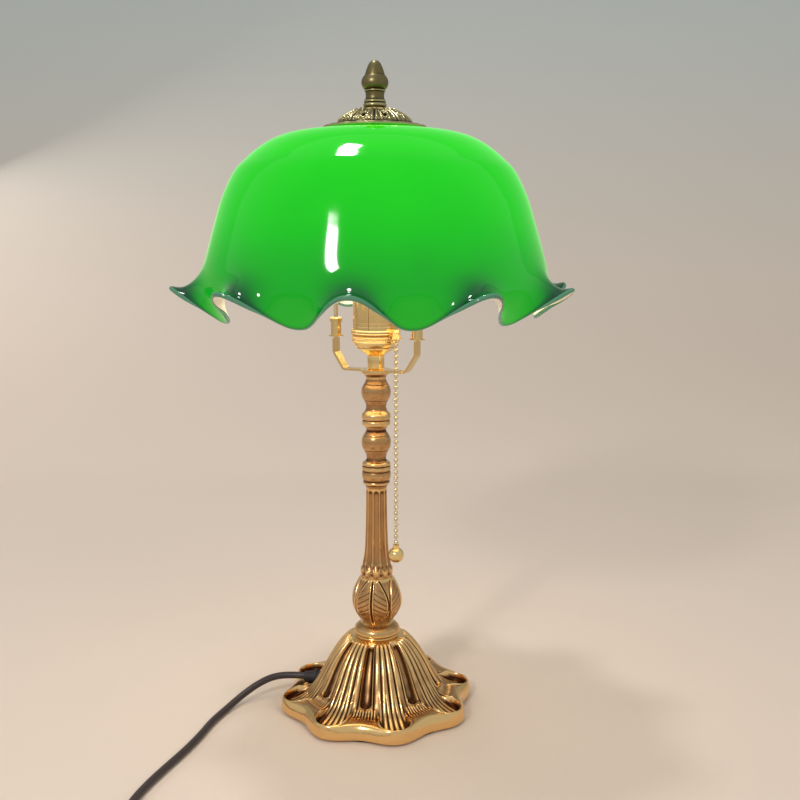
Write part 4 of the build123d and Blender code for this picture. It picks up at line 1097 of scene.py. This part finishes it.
@dataclass
class CapPlate:
    """The embossed plate on top of the glass: ten leaves and a scalloped flange."""

    leaves: int = 10
    steps: int = 480
    scallop_depth: float = 0.9
    top: list[tuple[float, float]] = field(default_factory=lambda: [
        (35.4, 411.9), (33.0, 412.1), (29.5, 412.3), (26.6, 413.1), (24.9, 414.9),
        (22.4, 417.0), (18.3, 419.7), (13.6, 422.0), (10.2, 422.9), (6.9, 423.1),
        (3.6, 423.15)])
    under: list[tuple[float, float]] = field(default_factory=lambda: [
        (3.6, 421.6), (8.0, 421.4), (13.0, 419.6), (18.0, 416.9), (23.0, 412.8),
        (25.0, 411.2), (33.0, 410.4), (35.2, 410.4)])

    def build(self, material: bpy.types.Material) -> None:
        """Spins the plate and presses its leaves.

        Args:
            material: Its finish.
        """
        azimuth = np.linspace(0, 360, self.steps, endpoint=False)
        top, under = smooth_run(self.top, 0.45), smooth_run(self.under, 1.5)
        radius = np.repeat(top[:, :1], self.steps, axis=1)
        height = np.repeat(top[:, 1:], self.steps, axis=1)
        out_r, out_h = normals_of(radius, height)
        pitch = 360 / self.leaves
        side = (azimuth + pitch / 2) % pitch - pitch / 2
        between = (azimuth % pitch - pitch / 2)[None, :]
        arc = side[None, :] * math.pi / 180 * radius
        gap = between * math.pi / 180 * radius
        wave = (0.5 + 0.5 * np.cos(np.radians(self.leaves * azimuth)))[None, :]
        dome = rise(10.5, 13.5, radius) * rise(26.5, 24.0, radius)
        relief = 1.0 * dome * wave**0.8
        relief -= 0.75 * dome * hump(arc, 0.9)
        relief += 0.45 * dome * (hump(np.abs(arc) - 1.5, 0.8) + hump(np.abs(gap) - 2.6, 0.9))
        pit = np.hypot(gap / 1.7, (radius - 20.6) / 2.6)
        relief -= 1.9 * np.clip(1 - pit**2, 0, 1) ** 0.7
        relief += 0.6 * hump(pit - 1.25, 0.45)
        eye = np.hypot(gap / 1.3, (radius - 13.8) / 1.3)
        relief -= 0.95 * np.clip(1 - eye**2, 0, 1)
        barb = np.abs(np.sin(np.pi * (radius / 2.1 + np.abs(arc) * 0.5)))
        relief -= 0.35 * dome * (1 - rise(0, 0.6, barb)) * rise(1.2, 2.2, np.abs(arc))
        relief += 0.55 * hump(radius - 33.9, 1.1) + 0.35 * hump(radius - 27.6, 0.9)
        relief += 0.6 * hump(np.hypot(arc, radius - 30.6), 2.4)
        radius, height = radius + relief * out_r, height + relief * out_h
        scallop = (0.5 - 0.5 * np.cos(np.radians(2 * self.leaves * azimuth)))[None, :]
        radius = radius - self.scallop_depth * rise(27, 35, radius) * scallop
        low_r = np.repeat(under[:, :1], self.steps, axis=1)
        low_r = low_r - self.scallop_depth * rise(27, 35, low_r) * scallop
        low_h = np.repeat(under[:, 1:], self.steps, axis=1)
        edge_r = np.vstack([low_r[-1:] + 0.45, radius[:1] + 0.42])
        edge_h = np.vstack([low_h[-1:] + 0.25, height[:1] - 0.35])
        piece = spun("cap_plate_embossed", np.vstack([edge_r, radius, low_r, edge_r[:1]]),
                     np.vstack([edge_h, height, low_h, edge_h[:1]]))
        piece.data.materials.append(material)
        settle(piece, Body.SHADE, Slot.DARK_BRASS, "cap_plate")


@dataclass
class Finial(TurnedPiece):
    """The acorn knob that holds the shade down, bored from below for its stud."""

    def rows(self) -> np.ndarray:
        """The outline from the top of the bore, round the foot and up to the tip."""
        return outline_rows(self.outline, self.spacing)


def acorn() -> Finial:
    """The knob with its two rings, its waist and its capped acorn.

    Returns:
        The finial, ready to build.
    """
    return Finial("finial_acorn", "finial", [
        [(0.0, 438.6), (2.0, 438.3), (3.3, 437.6)],
        [(3.3, 437.6), (3.3, 424.35)],
        [(3.3, 424.35), (6.6, 424.35)],
        [(6.6, 424.35), (7.3, 424.8), (7.9, 425.8), (7.8, 426.9), (7.0, 427.7)],
        [(7.0, 427.7), (7.4, 428.2), (7.3, 429.1), (6.6, 429.8)],
        [(6.6, 429.8), (6.3, 430.8), (6.2, 432.4), (6.4, 434.2), (6.5, 434.9)],
        [(6.5, 434.9), (7.1, 435.2), (7.1, 435.9), (6.8, 436.3)],
        [(6.8, 436.3), (8.0, 437.3), (8.9, 439.2), (9.1, 441.0), (8.7, 443.0), (7.8, 444.6),
         (7.2, 445.4)],
        [(7.2, 445.4), (6.7, 445.8), (6.6, 446.3)],
        [(6.6, 446.3), (5.9, 448.6), (5.0, 451.0), (3.9, 453.2), (2.5, 454.7), (1.0, 455.2),
         (0.0, 455.3)]], spacing=0.25, steps=96)


# Cord --------------------------------------------------------------------------------------
@dataclass
class Flex:
    """The cord: out of the foot, along the floor to the left, and its spare length coiled."""

    diameter: float = 5.0
    length: float = 1650.0
    route: list[tuple[float, float, float]] = field(default_factory=lambda: [
        (-54.16, 9.55, 16.0), (-65.0, 11.46, 16.0), (-78.0, 10.0, 15.2), (-90.0, 4.4, 11.0),
        (-100.5, -4.6, 5.8), (-108.6, -17.6, 2.6), (-115.6, -36.5, 2.6), (-119.6, -56.0, 2.6),
        (-125.6, -77.0, 2.6), (-133.4, -98.5, 2.6), (-140.4, -119.0, 2.6),
        (-145.4, -140.0, 2.6), (-147.0, -163.0, 2.6), (-146.0, -186.0, 2.6)])
    coil_centre: tuple[float, float] = (-108.6, -199.0)
    turn_radii: tuple[float, ...] = (37.95, 32.65, 27.35, 22.05, 22.05, 27.35, 32.65, 37.95)
    turn_heights: tuple[float, ...] = (2.6, 2.6, 2.6, 2.6, 7.8, 7.8, 7.8, 7.8)
    shifts: tuple[int, ...] = (320, 680, 1040, 1360, 1680, 2040, 2400)
    shift_run: float = 40.0
    turns: float = 7.25
    points_per_turn: int = 16
    tail: list[tuple[float, float, float]] = field(default_factory=lambda: [
        (-96.4, -236.6, 7.8), (-82.4, -234.6, 6.6), (-68.0, -230.6, 6.6)])

    def coil_points(self) -> list[tuple[float, float, float]]:
        """Control points of the turns, laid side by side in two layers.

        Returns:
            The points in mm, from the end of the lead to the start of the tail.
        """
        points = []
        count = round(self.turns * self.points_per_turn)
        pull = (3 + math.cos(2 * math.pi / self.points_per_turn)) / 4
        for step in range(1, count + 1):
            angle = 360 * step / self.points_per_turn
            radius, height = self.turn_radii[0], self.turn_heights[0]
            for k, start in enumerate(self.shifts):
                share = float(rise(start, start + self.shift_run, np.array(angle)))
                radius += share * (self.turn_radii[k + 1] - self.turn_radii[k])
                height += share * (self.turn_heights[k + 1] - self.turn_heights[k])
            turn = math.radians(180 + angle)
            points.append((self.coil_centre[0] + radius / pull * math.cos(turn),
                           self.coil_centre[1] + radius / pull * math.sin(turn), height))
        return points

    def build(self, material: bpy.types.Material) -> None:
        """Args:
            material: The cord's finish.
        """
        points = [*self.route, *self.coil_points(), *self.tail]
        curve = bpy.data.curves.new("cord_flex", "CURVE")
        curve.dimensions = "3D"
        curve.bevel_depth = self.diameter / 2 * MM
        curve.bevel_resolution = 3
        curve.resolution_u = 5
        curve.use_fill_caps = True
        spline = curve.splines.new("NURBS")
        spline.points.add(len(points) - 1)
        for point, (x, y, z) in zip(spline.points, points):
            point.co = (x * MM, y * MM, z * MM, 1)
        spline.order_u = 3
        spline.use_endpoint_u = True
        piece = bpy.data.objects.new("cord_flex", curve)
        bpy.context.scene.collection.objects.link(piece)
        curve.materials.append(material)
        settle(piece, Body.STAND, Slot.CORD, "cord_lead", "cord_coil", "cord_tail")


# Studio ------------------------------------------------------------------------------------
@dataclass
class Studio:
    """Camera, soft lights and a plain pale floor."""

    camera_place: tuple[float, float, float] = (16.8, -699.5, 338.2)
    camera_pitch: float = -9.14
    focal_length: float = 45.33
    floor_colour: tuple[float, float, float] = (216, 198, 184)
    wall_colour: tuple[float, float, float] = (198, 202, 200)

    def light(self, name: str, place: tuple[float, float, float], size: float, power: float,
              colour: tuple[float, float, float] = (1, 1, 1), mirrored: bool = True) -> None:
        """A square soft light aimed at the middle of the lamp.

        Args:
            name: The light's name.
            place: Where it hangs, in metres.
            size: Side of the square, in metres.
            power: Power in watts.
            colour: Colour of the light.
            mirrored: Whether glossy surfaces show the light itself.
        """
        data = bpy.data.lights.new(name, "AREA")
        data.shape, data.size, data.energy, data.color = "SQUARE", size, power, colour
        lamp = bpy.data.objects.new(name, data)
        bpy.context.scene.collection.objects.link(lamp)
        lamp.location = place
        lamp.visible_glossy = mirrored
        aim = np.array([0, 0, 0.25]) - np.array(place)
        lamp.rotation_euler = (math.acos(-aim[2] / np.linalg.norm(aim)), 0.0,
                               math.atan2(aim[1], aim[0]) - math.pi / 2)

    def build(self) -> None:
        """Sets up camera, lights, sky and floor."""
        scene = bpy.context.scene
        scene.view_settings.view_transform = "Standard"
        data = bpy.data.cameras.new("camera")
        data.lens, data.sensor_width = self.focal_length, 36.0
        data.clip_start = 0.01
        camera = bpy.data.objects.new("camera", data)
        scene.collection.objects.link(camera)
        camera.location = [v * MM for v in self.camera_place]
        camera.rotation_euler = (math.radians(90 + self.camera_pitch), 0, 0)
        scene.camera = camera

        world = bpy.data.worlds.new("studio")
        world.use_nodes = True
        sky = world.node_tree.nodes["Background"]
        sky.inputs["Color"].default_value = linear(*self.wall_colour)
        sky.inputs["Strength"].default_value = 1.0
        scene.world = world
        self.light("overhead_window", (-0.22, 0.16, 1.55), 0.16, 5.0)
        self.light("front_window", (-0.62, -1.15, 1.02), 0.16, 6.5, (1, 0.98, 0.95))
        self.light("broad_fill", (1.3, -1.5, 1.4), 1.2, 10.0, (1, 0.96, 0.92), mirrored=False)
        self.light("back_glow", (-1.2, 1.3, 1.0), 1.0, 7.0, (1, 0.95, 0.9), mirrored=False)

        self.sweep()

    def sweep(self) -> None:
        """Lays a pale floor that curves up behind the lamp into a plain wall."""
        line = smooth_run([(-4.0, 0.0), (0.2, 0.0), (0.8, 0.02), (1.5, 0.25), (2.1, 0.9),
                           (2.4, 1.8), (2.5, 4.5)], 0.05)
        mesh = bpy.data.meshes.new("floor")
        mesh.from_pydata([(-5.0, y, max(z, 0.0)) for y, z in line],
                         [(k, k + 1) for k in range(len(line) - 1)], [])
        floor = bpy.data.objects.new("floor", mesh)
        bpy.context.scene.collection.objects.link(floor)
        pick(floor)
        bpy.ops.object.mode_set(mode="EDIT")
        bpy.ops.mesh.select_all(action="SELECT")
        bpy.ops.mesh.extrude_region_move(TRANSFORM_OT_translate={"value": (10.0, 0, 0)})
        bpy.ops.mesh.select_all(action="SELECT")
        bpy.ops.mesh.normals_make_consistent(inside=False)
        bpy.ops.object.mode_set(mode="OBJECT")
        bpy.ops.object.shade_smooth()
        paint = Paint("floor_matt")
        place = paint.node("ShaderNodeSeparateXYZ")
        paint.tree.links.new(paint.place, place.inputs["Vector"])
        climb = paint.node("ShaderNodeMapRange", interpolation_type="SMOOTHSTEP")
        climb.inputs["From Min"].default_value = 0.0
        climb.inputs["From Max"].default_value = 1.1
        paint.tree.links.new(place.outputs["Z"], climb.inputs["Value"])
        shades = paint.node("ShaderNodeValToRGB")
        stops = shades.color_ramp.elements
        stops[0].color, stops[1].color = linear(*self.floor_colour), linear(*self.wall_colour)
        paint.tree.links.new(climb.outputs["Result"], shades.inputs["Fac"])
        paint.join(shades.outputs["Color"], "Base Color")
        paint.set(Roughness=0.7)
        floor.data.materials.append(paint.material)


def dress_frame(aged: bpy.types.NodeTree, grain: bpy.types.NodeTree) -> None:
    """Gives every node of the frame that stays its own finish.

    Args:
        aged: The aged metal node group.
        grain: The fine grain node group.
    """
    polished = BRIGHT_FRAME_BRASS.made(aged)
    nickel, steel, iron = NICKEL.made(aged), STEEL.made(aged), IRON.made(aged)
    dress(polished, "saddle", "chain_spout", "harp_clips", "sleeve_right", "sleeve_left",
          "chain_pendant", "finial_washer", "screw_shell", "centre_contact", "harp_stud",
          "plug_blades", "support_disc")
    dress(nickel, "pull_chain", "chain_hook", "harp_wire", "bulb_cap", "bulb_contact")
    dress(steel, "threaded_tube", "lock_nut", "lock_washer", "cover_screws", "bottom_cover",
          "terminal_screws", "switch_pin")
    dress(iron, "ballast_ring")
    dress(FELT.made(grain), "felt_pad")
    dress(RUBBER.made(grain), "cord_relief", "shade_grommet")
    dress(PHENOLIC.made(grain), "switch_body", "switch_lever")
    dress(CARD.made(grain), "socket_liner")
    dress(FROSTED.made(grain), "bulb_glass")
    dress(PLUG.made(grain), "plug_body")


def main() -> None:
    logging.basicConfig(level=logging.INFO, format="%(name)s: %(message)s")
    aged, grain = aged_metal_group(), fine_grain_group()
    Studio().build()
    cord_finish = FLEX.made(grain)
    Flex().build(cord_finish)
    dress(cord_finish, "inner_cord", "lead_wires")
    dress_frame(aged, grain)
    Foot().build(CAST_BRASS.made(aged))
    Column().build(TURNED_BRASS.made(aged))
    polished = BRIGHT_BRASS.made(aged)
    Lampholder().build(polished, polished)
    Shade().build(SHADE_GREEN.made(), SHADE_WHITE.made(), SHADE_RIM.made())
    cap_metal = CAP_BRASS.made(aged)
    CapPlate().build(cap_metal)
    acorn().build(cap_metal, Body.FINIAL, Slot.DARK_BRASS)


if __name__ == "__main__":
    main()
